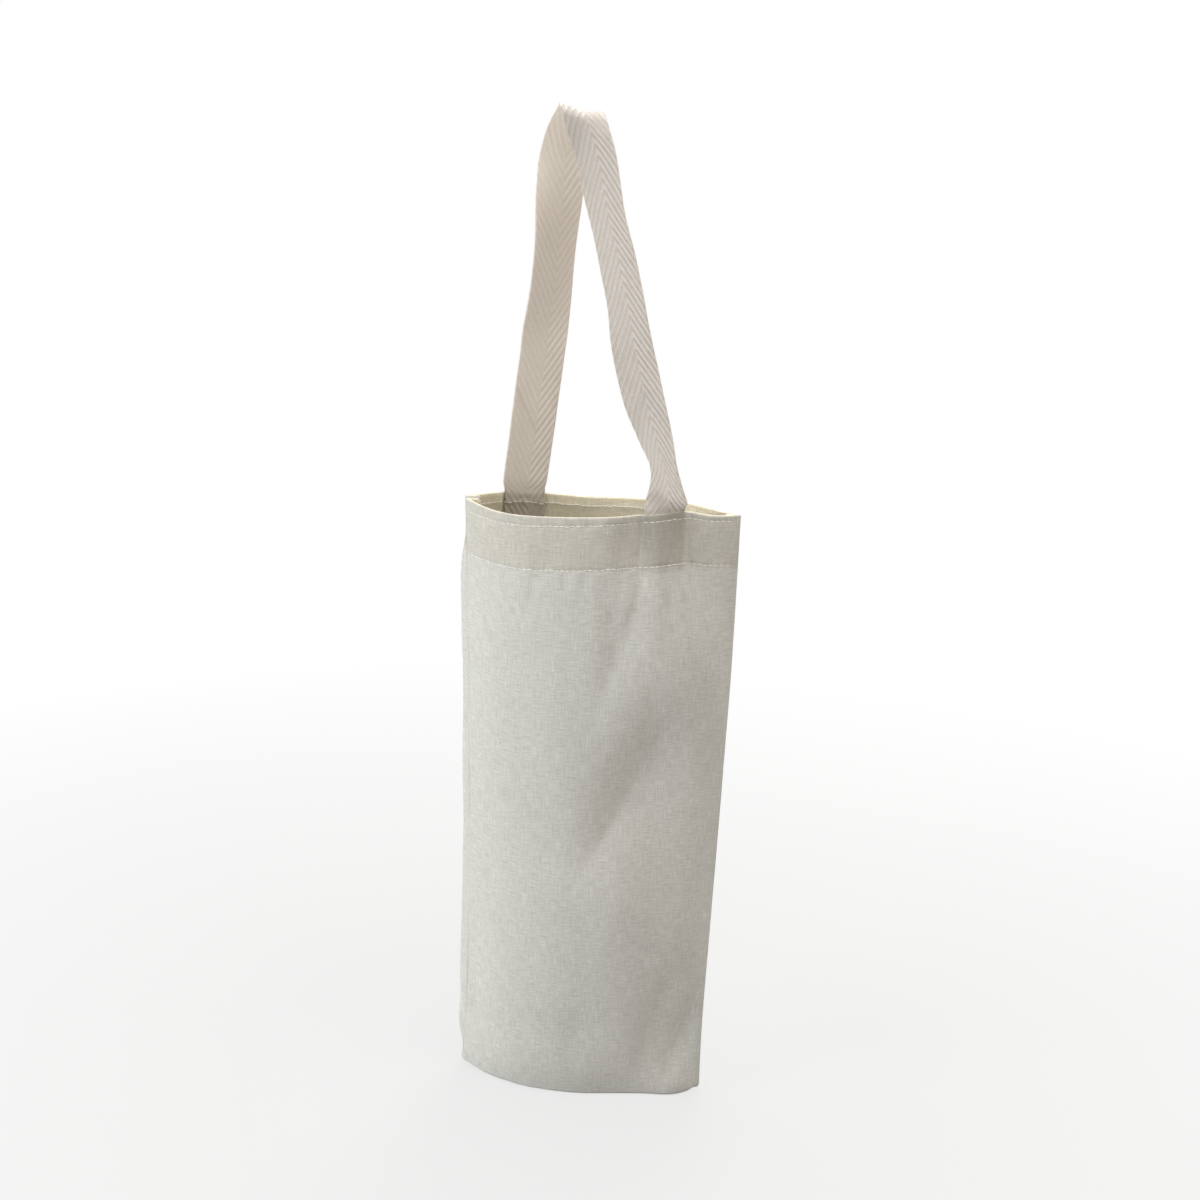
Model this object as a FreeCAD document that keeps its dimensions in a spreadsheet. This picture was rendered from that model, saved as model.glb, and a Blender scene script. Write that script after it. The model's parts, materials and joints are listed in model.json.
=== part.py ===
"""Cotton bottle carrier: two sewn calico panels, a turned hem and one webbing handle.

Frame: the origin is the middle of the base, +Z up, +X to the right seen from the front, -Y the front.
Both panels are the same cut. A piece of the back is modelled as at the front and turned half round about Z.
Lengths are in millimetres.
"""
import FreeCAD, Part
import math
import os
import Sketcher
from FreeCAD import Vector

doc = FreeCAD.newDocument("BottleCarrier")
sheet = doc.addObject("Spreadsheet::Sheet", "Sizes")

DRIVING_SIZES = {
    # The sack
    "body_height": 352,  # floor to rim
    "mouth_width": 154,  # between the side seams, as the mouth stands open
    "mouth_depth": 52,  # front to back at the middle of the mouth
    "cloth": 0.6,  # thickness of the calico
    "seam_gap": 0.1,  # between the two seam allowances that are sewn together
    "seam_allowance": 8,  # width of the allowance turned in at the sides and the bottom
    "hem_depth": 32,  # how far the hem is turned down inside
    "layer_gap": 0.2,  # between the panel and its turned hem
    # The sewing threads
    "thread_thick": 0.35,  # how far a thread stands off the cloth
    "thread_width": 0.5,  # across a line of stitching
    "thread_seat": 0.05,  # between a thread and the cloth under it
    "rim_stitch_drop": 5,  # rim to the upper line of stitching
    "hem_stitch_drop": 30,  # rim to the lower line of stitching
    "seam_stitch_inset": 4,  # edge of the sack to the seam's own stitching
    # The handle
    "strap_width": 25,
    "strap_thick": 1.4,
    "strap_seat": 0.15,  # between a sewn end and the hem behind it
    "strap_tuck": 31,  # how far a sewn end reaches below the rim
    "strap_selvedge": 1.5,  # stitching over a sewn end stops this far from its edges
    "front_end_inset": 39,  # right side seam to the middle of the front end
    "back_end_inset": 30,  # left side seam to the middle of the back end
    "top_offset": 17,  # top of the loop, left of the middle of the sack
    "handle_rise": 211,  # rim to the top of the loop
    "lean_rise": 28,  # rim to the bend on which the loop leans over
    "drop_rise": 50,  # that bend to the next one, on which the loop hangs down
    "bow_radius": 4,  # of the fold at the top of the loop, at the middle of the webbing
    "bend_gap": 0.3,  # between two stretches of webbing at a bend
}
for row, (alias, length) in enumerate(DRIVING_SIZES.items(), start=1):
    sheet.set(f"A{row}", str(length))
    sheet.setAlias(f"A{row}", alias)
doc.recompute()

# Stations of the twisted rise of a sewn end, from the rim to the first bend
TWIST_SHARES = (0.3, 0.5, 0.7, 1.0)
# Stations along one leg of the bow, from the second bend to the fold at the top
BOW_LEG_SHARES = (0.0, 0.1, 0.4, 0.7, 0.9, 1.0)
# Stations round the fold at the top, as shares of the half turn
FOLD_SHARES = (0.17, 0.33, 0.5, 0.67, 0.83)

# Derived sizes, as expressions over the driving sizes
WALL_RADIUS = "((Sizes.mouth_width^2 + Sizes.mouth_depth^2) / (4 * Sizes.mouth_depth))"
WALL_CENTRE = f"({WALL_RADIUS} - Sizes.mouth_depth / 2)"
WALL_INNER = f"({WALL_RADIUS} - Sizes.cloth)"
FACING_OUTER = f"({WALL_INNER} - Sizes.layer_gap)"
FACING_INNER = f"({FACING_OUTER} - Sizes.cloth)"
STRAP_OUTER = f"({FACING_INNER} - Sizes.strap_seat)"
STRAP_INNER = f"({STRAP_OUTER} - Sizes.strap_thick)"
STRAP_MIDDLE = f"({STRAP_OUTER} - Sizes.strap_thick / 2)"
ALLOWANCE_EDGE = "(Sizes.mouth_width / 2 - Sizes.seam_allowance)"
ALLOWANCE_FACE = "(Sizes.seam_gap / 2)"
ALLOWANCE_BACK = f"({ALLOWANCE_FACE} + Sizes.cloth)"
SEAM_THREAD_NEAR = f"({ALLOWANCE_BACK} + Sizes.thread_seat)"
SEAM_THREAD_FAR = f"({SEAM_THREAD_NEAR} + Sizes.thread_thick)"
SEAM_LINE_LOW = "(Sizes.seam_stitch_inset - Sizes.thread_width / 2)"
SEAM_LINE_HIGH = "(Sizes.seam_stitch_inset + Sizes.thread_width / 2)"
ABOVE_BOTTOM_SEAM = "(Sizes.seam_allowance + Sizes.thread_seat)"
ABOVE_BOTTOM_OVERLOCK = f"({ABOVE_BOTTOM_SEAM} + Sizes.thread_thick)"
OVERLOCK_EDGE = f"({ALLOWANCE_EDGE} - Sizes.thread_seat)"
OVERLOCK_OUTSIDE = f"({OVERLOCK_EDGE} - Sizes.thread_thick)"
BOTTOM_RUN_END = f"({OVERLOCK_OUTSIDE} - Sizes.thread_seat)"

X_AXIS = Vector(1, 0, 0)
Y_AXIS = Vector(0, 1, 0)
Z_AXIS = Vector(0, 0, 1)
HALF_TURN = FreeCAD.Placement(Vector(), FreeCAD.Rotation(Z_AXIS, 180))


def size(alias):
    """A driving size, as a number."""
    return float(getattr(sheet, alias))


def number(expression):
    """What an expression over the driving sizes comes to."""
    return float(sheet.evalExpression(expression))


def new_body(label):
    """An empty body that carries the piece's name."""
    body = doc.addObject("PartDesign::Body", label)
    body.Label = label
    return body


def new_sketch(body, name, offset, role="XY_Plane"):
    """A sketch on one of the body's origin planes, moved along the plane's normal."""
    sketch = body.newObject("Sketcher::SketchObject", name)
    plane = next(feature for feature in body.Origin.OriginFeatures if feature.Role == role)
    sketch.AttachmentSupport = [(plane, "")]
    sketch.MapMode = "FlatFace"
    sketch.setExpression("AttachmentOffset.Base.z", offset)
    return sketch


def pad(body, sketch, name, length):
    """A sketch raised along its normal."""
    feature = body.newObject("PartDesign::Pad", name)
    feature.Profile = sketch
    feature.setExpression("Length", length)


def bind(sketch, constraint, expression):
    """A dimension that follows an expression."""
    index = sketch.addConstraint(constraint)
    sketch.setExpression(f"Constraints[{index}]", expression)


def bind_place(sketch, kind, edge, end, expression):
    """One coordinate of an edge's end, measured from the sketch's origin."""
    value = number(expression)
    if value < 0:
        bind(sketch, Sketcher.Constraint(kind, edge, end, -1, 1, -value), f"-({expression})")
    else:
        bind(sketch, Sketcher.Constraint(kind, -1, 1, edge, end, value), expression)


def join(sketch, edge, edge_end, other, other_end):
    """Two edges that meet."""
    sketch.addConstraint(Sketcher.Constraint("Coincident", edge, edge_end, other, other_end))


def add_line(sketch, start, end):
    """A straight edge between two pairs of coordinates."""
    return sketch.addGeometry(Part.LineSegment(Vector(*start, 0), Vector(*end, 0)))


def add_wall_arc(sketch, radius, left, right):
    """An arc about the front wall's centre, from left to right, bulging to the front."""
    length = number(radius)
    centre = Vector(0, number(WALL_CENTRE), 0)
    angles = [math.asin(place / length) - math.pi / 2 for place in (left, right)]
    arc = sketch.addGeometry(Part.ArcOfCircle(Part.Circle(centre, Z_AXIS, length), *angles))
    sketch.addConstraint(Sketcher.Constraint("PointOnObject", arc, 3, -2))
    bind_place(sketch, "DistanceY", arc, 3, WALL_CENTRE)
    bind(sketch, Sketcher.Constraint("Radius", arc, length), radius)
    return arc


def arc_height(radius, place):
    """The y of the front wall's arc of that radius at a given x."""
    return number(WALL_CENTRE) - math.sqrt(number(radius) ** 2 - place**2)


def draw_polygon(sketch, corners):
    """A closed outline whose corners follow pairs of expressions."""
    points = [(number(across), number(along)) for across, along in corners]
    edges = [add_line(sketch, start, end) for start, end in zip(points, points[1:] + points[:1])]
    for edge, (across, along) in zip(edges, corners):
        join(sketch, edge, 1, edges[edge - 1], 2)
        bind_place(sketch, "DistanceX", edge, 1, across)
        bind_place(sketch, "DistanceY", edge, 1, along)


def draw_rectangle(sketch, left, right, low, high):
    """A rectangle between four expressions."""
    draw_polygon(sketch, [(left, low), (right, low), (right, high), (left, high)])


def draw_wall_band(sketch, outer, inner, left, right):
    """A band between two arcs of the front wall, cut off square to X at both ends."""
    first, last = number(left), number(right)
    outer_arc = add_wall_arc(sketch, outer, first, last)
    inner_arc = add_wall_arc(sketch, inner, first, last)
    right_end = add_line(sketch, (last, arc_height(outer, last)), (last, arc_height(inner, last)))
    left_end = add_line(sketch, (first, arc_height(inner, first)), (first, arc_height(outer, first)))
    join(sketch, outer_arc, 2, right_end, 1)
    join(sketch, right_end, 2, inner_arc, 2)
    join(sketch, inner_arc, 1, left_end, 1)
    join(sketch, left_end, 2, outer_arc, 1)
    for edge, place in ((right_end, right), (left_end, left)):
        sketch.addConstraint(Sketcher.Constraint("Vertical", edge))
        bind_place(sketch, "DistanceX", edge, 1, place)


def draw_wall_section(sketch):
    """The front wall seen from above, with the seam allowances turned in at both ends."""
    face, back = -number(ALLOWANCE_FACE), -number(ALLOWANCE_BACK)
    edge = number(ALLOWANCE_EDGE)
    centre = number(WALL_CENTRE)
    corner = math.sqrt(number(WALL_RADIUS) ** 2 - (centre - face) ** 2)
    inner_corner = math.sqrt(number(WALL_INNER) ** 2 - (centre - back) ** 2)
    outer_arc = add_wall_arc(sketch, WALL_RADIUS, -corner, corner)
    inner_arc = add_wall_arc(sketch, WALL_INNER, -inner_corner, inner_corner)
    for side, arc_end, place in ((1, 2, ALLOWANCE_EDGE), (-1, 1, f"-{ALLOWANCE_EDGE}")):
        near = add_line(sketch, (side * corner, face), (side * edge, face))
        end = add_line(sketch, (side * edge, face), (side * edge, back))
        far = add_line(sketch, (side * edge, back), (side * inner_corner, back))
        join(sketch, outer_arc, arc_end, near, 1)
        join(sketch, near, 2, end, 1)
        join(sketch, end, 2, far, 1)
        join(sketch, far, 2, inner_arc, arc_end)
        sketch.addConstraint(Sketcher.Constraint("Horizontal", near))
        sketch.addConstraint(Sketcher.Constraint("Vertical", end))
        sketch.addConstraint(Sketcher.Constraint("Horizontal", far))
        bind_place(sketch, "DistanceX", end, 1, place)
        bind_place(sketch, "DistanceY", end, 1, f"-{ALLOWANCE_FACE}")
        bind_place(sketch, "DistanceY", end, 2, f"-{ALLOWANCE_BACK}")


def draw_base_half(sketch):
    """The front half of the base: a segment of the wall's circle."""
    face = -number(ALLOWANCE_FACE)
    corner = math.sqrt(number(WALL_RADIUS) ** 2 - (number(WALL_CENTRE) - face) ** 2)
    arc = add_wall_arc(sketch, WALL_RADIUS, -corner, corner)
    seam = add_line(sketch, (corner, face), (-corner, face))
    join(sketch, arc, 2, seam, 1)
    join(sketch, seam, 2, arc, 1)
    sketch.addConstraint(Sketcher.Constraint("Horizontal", seam))
    bind_place(sketch, "DistanceY", seam, 1, f"-{ALLOWANCE_FACE}")


def make_panel(label):
    """One cut of calico: wall, half of the base, bottom seam allowance and turned hem."""
    body = new_body(label)
    wall = new_sketch(body, f"{label}_wall_sketch", "0")
    draw_wall_section(wall)
    pad(body, wall, f"{label}_wall", "Sizes.body_height")
    base = new_sketch(body, f"{label}_base_sketch", "0")
    draw_base_half(base)
    pad(body, base, f"{label}_base", "Sizes.cloth")
    allowance = new_sketch(body, f"{label}_allowance_sketch", "0")
    draw_rectangle(
        allowance, f"-{ALLOWANCE_EDGE}", ALLOWANCE_EDGE, f"-{ALLOWANCE_BACK}", f"-{ALLOWANCE_FACE}"
    )
    pad(body, allowance, f"{label}_allowance", "Sizes.seam_allowance")
    fold = new_sketch(body, f"{label}_fold_sketch", "Sizes.body_height - Sizes.cloth")
    draw_wall_band(fold, WALL_RADIUS, FACING_INNER, f"-{ALLOWANCE_EDGE}", ALLOWANCE_EDGE)
    pad(body, fold, f"{label}_fold", "Sizes.cloth")
    hem = new_sketch(body, f"{label}_hem_sketch", "Sizes.body_height - Sizes.hem_depth")
    draw_wall_band(hem, FACING_OUTER, FACING_INNER, f"-{ALLOWANCE_EDGE}", ALLOWANCE_EDGE)
    pad(body, hem, f"{label}_hem", "Sizes.hem_depth")
    return body


def stitch_run(label, drop, outer, inner, left, right):
    """One run of thread along the front wall, at a given drop below the rim."""
    body = new_body(label)
    sketch = new_sketch(body, f"{label}_sketch", f"Sizes.body_height - {drop} - Sizes.thread_width / 2")
    draw_wall_band(sketch, outer, inner, left, right)
    pad(body, sketch, f"{label}_pad", "Sizes.thread_width")
    return body


def gather(label, members):
    """A group of separate solids under one name."""
    group = doc.addObject("Part::Compound", label)
    group.Label = label
    group.Links = members
    return group


def make_needle_thread(label, drop):
    """The thread of one line of stitching on the outside, front and back."""
    outer = f"({WALL_RADIUS} + Sizes.thread_seat + Sizes.thread_thick)"
    inner = f"({WALL_RADIUS} + Sizes.thread_seat)"
    runs = []
    for side in ("front", "back"):
        run = stitch_run(f"{label}_{side}", drop, outer, inner, f"-{ALLOWANCE_EDGE}", ALLOWANCE_EDGE)
        if side == "back":
            run.Placement = HALF_TURN
        runs.append(run)
    return gather(label, runs)


def make_bobbin_thread(label, drop):
    """The thread of one line of stitching on the inside, which steps over each sewn end of the handle."""
    on_hem = f"({FACING_INNER} - Sizes.thread_seat)"
    on_strap = f"({STRAP_INNER} - Sizes.thread_seat)"
    runs = []
    for side in ("front", "back"):
        middle = f"(Sizes.mouth_width / 2 - Sizes.{side}_end_inset)"
        beside = "(Sizes.strap_width / 2 + Sizes.thread_seat)"
        over = "(Sizes.strap_width / 2 - Sizes.strap_selvedge)"
        stretches = (
            ("left", on_hem, f"-{ALLOWANCE_EDGE}", f"{middle} - {beside}"),
            ("over", on_strap, f"{middle} - {over}", f"{middle} + {over}"),
            ("right", on_hem, f"{middle} + {beside}", ALLOWANCE_EDGE),
        )
        for name, outer, left, right in stretches:
            inner = f"({outer} - Sizes.thread_thick)"
            run = stitch_run(f"{label}_{side}_{name}", drop, outer, inner, left, right)
            if side == "back":
                run.Placement = HALF_TURN
            runs.append(run)
    return gather(label, runs)


def make_side_seam_thread(label, turned):
    """The side seam's stitching, on both faces of the two allowances."""
    near_edge = f"(Sizes.mouth_width / 2 - {SEAM_LINE_HIGH})"
    far_edge = f"(Sizes.mouth_width / 2 - {SEAM_LINE_LOW})"
    faces = (
        ("front", f"-{SEAM_THREAD_FAR}", f"-{SEAM_THREAD_NEAR}"),
        ("back", SEAM_THREAD_NEAR, SEAM_THREAD_FAR),
    )
    runs = []
    for face, low, high in faces:
        body = new_body(f"{label}_{face}")
        sketch = new_sketch(body, f"{label}_{face}_sketch", ABOVE_BOTTOM_SEAM)
        draw_rectangle(sketch, near_edge, far_edge, low, high)
        pad(body, sketch, f"{label}_{face}_pad", f"Sizes.body_height - Sizes.cloth - {ABOVE_BOTTOM_SEAM}")
        if turned:
            body.Placement = HALF_TURN
        runs.append(body)
    return gather(label, runs)


def make_bottom_seam_thread(label):
    """The bottom seam's stitching, on both faces of the two allowances."""
    faces = (
        ("front", f"-{SEAM_THREAD_FAR}", f"-{SEAM_THREAD_NEAR}"),
        ("back", SEAM_THREAD_NEAR, SEAM_THREAD_FAR),
    )
    runs = []
    for face, low, high in faces:
        body = new_body(f"{label}_{face}")
        sketch = new_sketch(body, f"{label}_{face}_sketch", f"-{BOTTOM_RUN_END}", "YZ_Plane")
        draw_rectangle(sketch, low, high, SEAM_LINE_LOW, SEAM_LINE_HIGH)
        pad(body, sketch, f"{label}_{face}_pad", f"2 * {BOTTOM_RUN_END}")
        runs.append(body)
    return gather(label, runs)


def make_side_overlock(label, turned):
    """Overlock thread wrapped round the raw edges of a side seam's two allowances."""
    body = new_body(label)
    reach = f"(Sizes.mouth_width / 2 - {SEAM_LINE_HIGH} - Sizes.thread_seat)"
    sketch = new_sketch(body, f"{label}_sketch", ABOVE_BOTTOM_SEAM)
    draw_polygon(
        sketch,
        [
            (OVERLOCK_OUTSIDE, f"-{SEAM_THREAD_FAR}"),
            (reach, f"-{SEAM_THREAD_FAR}"),
            (reach, f"-{SEAM_THREAD_NEAR}"),
            (OVERLOCK_EDGE, f"-{SEAM_THREAD_NEAR}"),
            (OVERLOCK_EDGE, SEAM_THREAD_NEAR),
            (reach, SEAM_THREAD_NEAR),
            (reach, SEAM_THREAD_FAR),
            (OVERLOCK_OUTSIDE, SEAM_THREAD_FAR),
        ],
    )
    pad(body, sketch, f"{label}_pad", f"Sizes.body_height - Sizes.cloth - {ABOVE_BOTTOM_SEAM}")
    if turned:
        body.Placement = HALF_TURN
    return body


def make_bottom_overlock(label):
    """Overlock thread wrapped round the raw edges of the bottom seam's two allowances."""
    body = new_body(label)
    reach = f"({SEAM_LINE_HIGH} + Sizes.thread_seat)"
    sketch = new_sketch(body, f"{label}_sketch", f"-{BOTTOM_RUN_END}", "YZ_Plane")
    draw_polygon(
        sketch,
        [
            (f"-{SEAM_THREAD_FAR}", reach),
            (f"-{SEAM_THREAD_NEAR}", reach),
            (f"-{SEAM_THREAD_NEAR}", ABOVE_BOTTOM_SEAM),
            (SEAM_THREAD_NEAR, ABOVE_BOTTOM_SEAM),
            (SEAM_THREAD_NEAR, reach),
            (SEAM_THREAD_FAR, reach),
            (SEAM_THREAD_FAR, ABOVE_BOTTOM_OVERLOCK),
            (f"-{SEAM_THREAD_FAR}", ABOVE_BOTTOM_OVERLOCK),
        ],
    )
    pad(body, sketch, f"{label}_pad", f"2 * {BOTTOM_RUN_END}")
    return body


def end_place(side):
    """How far a sewn end's middle lies from the middle of the sack."""
    return size("mouth_width") / 2 - size(f"{side}_end_inset")


def foot_point(side):
    """The middle of a sewn end of the handle, seen from above."""
    point = Vector(end_place(side), arc_height(STRAP_MIDDLE, end_place(side)), 0)
    return point if side == "front" else -point


def strap_frame():
    """The upright plane through both feet: its middle, half its span and its direction, back to front."""
    front, back = foot_point("front"), foot_point("back")
    return (front + back) / 2, (front - back).Length / 2, (front - back).normalize()


MIDDLE, HALF_SPAN, SPAN_DIRECTION = strap_frame()
# Pieces of the loop are modelled with X along the span, Y to the back and Z up
STRAP_PLACEMENT = FreeCAD.Placement(MIDDLE, FreeCAD.Rotation(X_AXIS, SPAN_DIRECTION))
LEAN_HEIGHT = size("body_height") + size("lean_rise")
DROP_HEIGHT = LEAN_HEIGHT + size("drop_rise")
FOLD_HEIGHT = size("body_height") + size("handle_rise") - size("strap_thick") / 2 - size("bow_radius")
TOP_PLACE = (-size("top_offset") - MIDDLE.x) / SPAN_DIRECTION.x
NOSE_RADIUS = size("strap_thick") / 2


def leg_place(side, height):
    """Where a leg's middle stands along the span at a given height: straight from its foot to the top."""
    foot = HALF_SPAN if side == "front" else -HALF_SPAN
    return foot + (TOP_PLACE - foot) * (height - LEAN_HEIGHT) / (FOLD_HEIGHT - LEAN_HEIGHT)


def leg_width(side):
    """The level width of a leaning leg."""
    lean = leg_place(side, FOLD_HEIGHT) - leg_place(side, LEAN_HEIGHT)
    return size("strap_width") * math.hypot(lean, FOLD_HEIGHT - LEAN_HEIGHT) / (FOLD_HEIGHT - LEAN_HEIGHT)


def section_corners(middle, along, outward, width):
    """The corners of the webbing's rectangle about a point."""
    edge = along * (width / 2)
    face = outward * (size("strap_thick") / 2)
    return [middle - edge + face, middle + edge + face, middle + edge - face, middle - edge - face]


def cross_section(middle, along, outward, width):
    """The webbing's rectangle about a point, as a closed wire."""
    corners = section_corners(middle, along, outward, width)
    return Part.makePolygon(corners + corners[:1])


def bend_nose(side, height):
    """The half-round lower end of a stretch of webbing, on the line of its bend."""
    width = leg_width(side)
    start = Vector(leg_place(side, height) - width / 2, 0, height)
    reach = Y_AXIS * NOSE_RADIUS
    arc = Part.Arc(start - reach, start - Z_AXIS * NOSE_RADIUS, start + reach).toShape()
    flat = Part.LineSegment(start + reach, start - reach).toShape()
    return Part.Face(Part.Wire([arc, flat])).extrude(X_AXIS * width)


def add_strap_piece(label, shape, placement=FreeCAD.Placement()):
    """A stretch of the handle under its own name."""
    piece = doc.addObject("Part::Feature", label)
    piece.Label = label
    piece.Shape = shape
    piece.Placement = placement
    return piece


def make_handle_end(label, side):
    """A sewn end: flat against the hem below the rim, then twisting into the plane of the loop above it."""
    half_angle = size("strap_width") / 2 / number(STRAP_MIDDLE)
    middle_angle = math.asin(end_place(side) / number(STRAP_MIDDLE))
    centre = Vector(0, number(WALL_CENTRE), size("body_height"))
    turns = (middle_angle - half_angle, middle_angle, middle_angle + half_angle)
    rays = [Vector(math.sin(turn), -math.cos(turn), 0) for turn in turns]
    outer = [centre + ray * number(STRAP_OUTER) for ray in rays]
    inner = [centre + ray * number(STRAP_INNER) for ray in rays]
    rim_section = Part.Wire(
        [
            Part.Arc(*outer).toShape(),
            Part.LineSegment(outer[2], inner[2]).toShape(),
            Part.Arc(*reversed(inner)).toShape(),
            Part.LineSegment(inner[0], outer[0]).toShape(),
        ]
    )
    sewn = Part.Face(rim_section).extrude(Z_AXIS * -size("strap_tuck"))
    foot = centre + rays[1] * number(STRAP_MIDDLE)
    rise = size("lean_rise") - NOSE_RADIUS - size("bend_gap")
    span_angle = math.atan2(SPAN_DIRECTION.y, SPAN_DIRECTION.x)
    sections = [rim_section]
    for share in TWIST_SHARES:
        eased = share * share * (3 - 2 * share)
        angle = middle_angle + (span_angle - middle_angle) * eased
        along = Vector(math.cos(angle), math.sin(angle), 0)
        outward = Vector(math.sin(angle), -math.cos(angle), 0)
        middle = foot + Z_AXIS * (rise * share)
        sections.append(cross_section(middle, along, outward, size("strap_width")))
    twisted = Part.makeLoft(sections, True)
    shape = sewn.fuse(twisted).removeSplitter()
    return add_strap_piece(label, shape, HALF_TURN if side == "back" else FreeCAD.Placement())


def make_handle_leg(label, side):
    """The straight stretch between the two bends, leaning towards the top of the loop."""
    top = DROP_HEIGHT - NOSE_RADIUS - size("bend_gap")
    middles = [Vector(leg_place(side, height), 0, height) for height in (LEAN_HEIGHT, top)]
    sections = [cross_section(middle, X_AXIS, Y_AXIS, leg_width(side)) for middle in middles]
    shape = Part.makeLoft(sections, True, True).fuse(bend_nose(side, LEAN_HEIGHT)).removeSplitter()
    return add_strap_piece(label, shape, STRAP_PLACEMENT)


def bow_leg_stations(side):
    """The webbing's middle and outward side from the second bend up to the fold, for one leg."""
    away = -1 if side == "front" else 1
    stations = []
    for share in BOW_LEG_SHARES:
        height = DROP_HEIGHT + (FOLD_HEIGHT - DROP_HEIGHT) * share
        middle = Vector(leg_place(side, height), away * size("bow_radius") * share**2, height)
        stations.append((middle, Y_AXIS * away, leg_width(side)))
    return stations


def fold_stations():
    """The webbing's middle and outward side round the half turn at the top of the loop."""
    stations = []
    for share in FOLD_SHARES:
        outward = Vector(0, math.cos(math.pi * share), math.sin(math.pi * share))
        middle = Vector(TOP_PLACE, 0, FOLD_HEIGHT) + outward * size("bow_radius")
        stations.append((middle, outward, size("strap_width")))
    return stations


def ruled_face(first, second):
    """The face of straight lines between two curves that share their parameters."""
    surface = Part.BSplineSurface()
    surface.buildFromPolesMultsKnots(
        [first.getPoles(), second.getPoles()],
        umults=(2, 2),
        vmults=first.getMultiplicities(),
        uknots=(0.0, 1.0),
        vknots=first.getKnots(),
        uperiodic=False,
        vperiodic=False,
        udegree=1,
        vdegree=first.Degree,
    )
    return surface.toShape()


def ribbon(stations):
    """A closed stretch of webbing whose four long edges are smooth curves through the stations."""
    corners = [section_corners(middle, X_AXIS, *rest) for middle, *rest in stations]
    middles = [middle for middle, *rest in stations]
    travel = [0.0]
    for start, end in zip(middles, middles[1:]):
        travel.append(travel[-1] + (end - start).Length)
    edges = []
    for points in zip(*corners):
        edge = Part.BSplineCurve()
        edge.interpolate(Points=list(points), Parameters=travel)
        edges.append(edge)
    faces = [ruled_face(edges[index - 1], edge) for index, edge in enumerate(edges)]
    faces += [Part.Face(Part.makePolygon(ends + ends[:1])) for ends in (corners[0], corners[-1])]
    skin = Part.makeCompound(faces)
    skin.sewShape()
    solid = Part.makeSolid(skin.Shells[0])
    if solid.Volume < 0:
        solid.reverse()
    return solid


def make_handle_bow(label):
    """The loop's upper stretch: up one leg, over the fold at the top and down the other leg."""
    shape = ribbon(bow_leg_stations("back") + fold_stations() + bow_leg_stations("front")[::-1])
    for side in ("back", "front"):
        shape = shape.fuse(bend_nose(side, DROP_HEIGHT))
    return add_strap_piece(label, shape.removeSplitter(), STRAP_PLACEMENT)


front_panel = make_panel("front_panel")
back_panel = make_panel("back_panel")
back_panel.Placement = HALF_TURN
pieces = [
    front_panel,
    back_panel,
    make_needle_thread("rim_stitch_needle_thread", "Sizes.rim_stitch_drop"),
    make_bobbin_thread("rim_stitch_bobbin_thread", "Sizes.rim_stitch_drop"),
    make_needle_thread("hem_stitch_needle_thread", "Sizes.hem_stitch_drop"),
    make_bobbin_thread("hem_stitch_bobbin_thread", "Sizes.hem_stitch_drop"),
    make_side_seam_thread("side_seam_thread_right", False),
    make_side_seam_thread("side_seam_thread_left", True),
    make_bottom_seam_thread("bottom_seam_thread"),
    make_side_overlock("overlock_right", False),
    make_side_overlock("overlock_left", True),
    make_bottom_overlock("overlock_bottom"),
    make_handle_end("handle_end_front", "front"),
    make_handle_end("handle_end_back", "back"),
    make_handle_leg("handle_leg_front", "front"),
    make_handle_leg("handle_leg_back", "back"),
    make_handle_bow("handle_bow"),
]
doc.recompute()

for item in doc.Objects:
    if "Invalid" in item.State or "Error" in item.State:
        raise RuntimeError(f"{item.Label} failed: {item.State}")
for piece in pieces:
    if piece.Shape.isNull() or not piece.Shape.isValid():
        raise RuntimeError(f"{piece.Label} has no valid shape")

os.makedirs("parts", exist_ok=True)
for piece in pieces:
    piece.Shape.exportStep(os.path.join("parts", f"{piece.Label}.step"))
    print(f"{piece.Label}: {len(piece.Shape.Solids)} solids, {piece.Shape.Volume:.0f} cubic mm")
print(f"bends: {LEAN_HEIGHT:.3f} and {DROP_HEIGHT:.3f} up, through {MIDDLE} along {SPAN_DIRECTION}")
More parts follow.
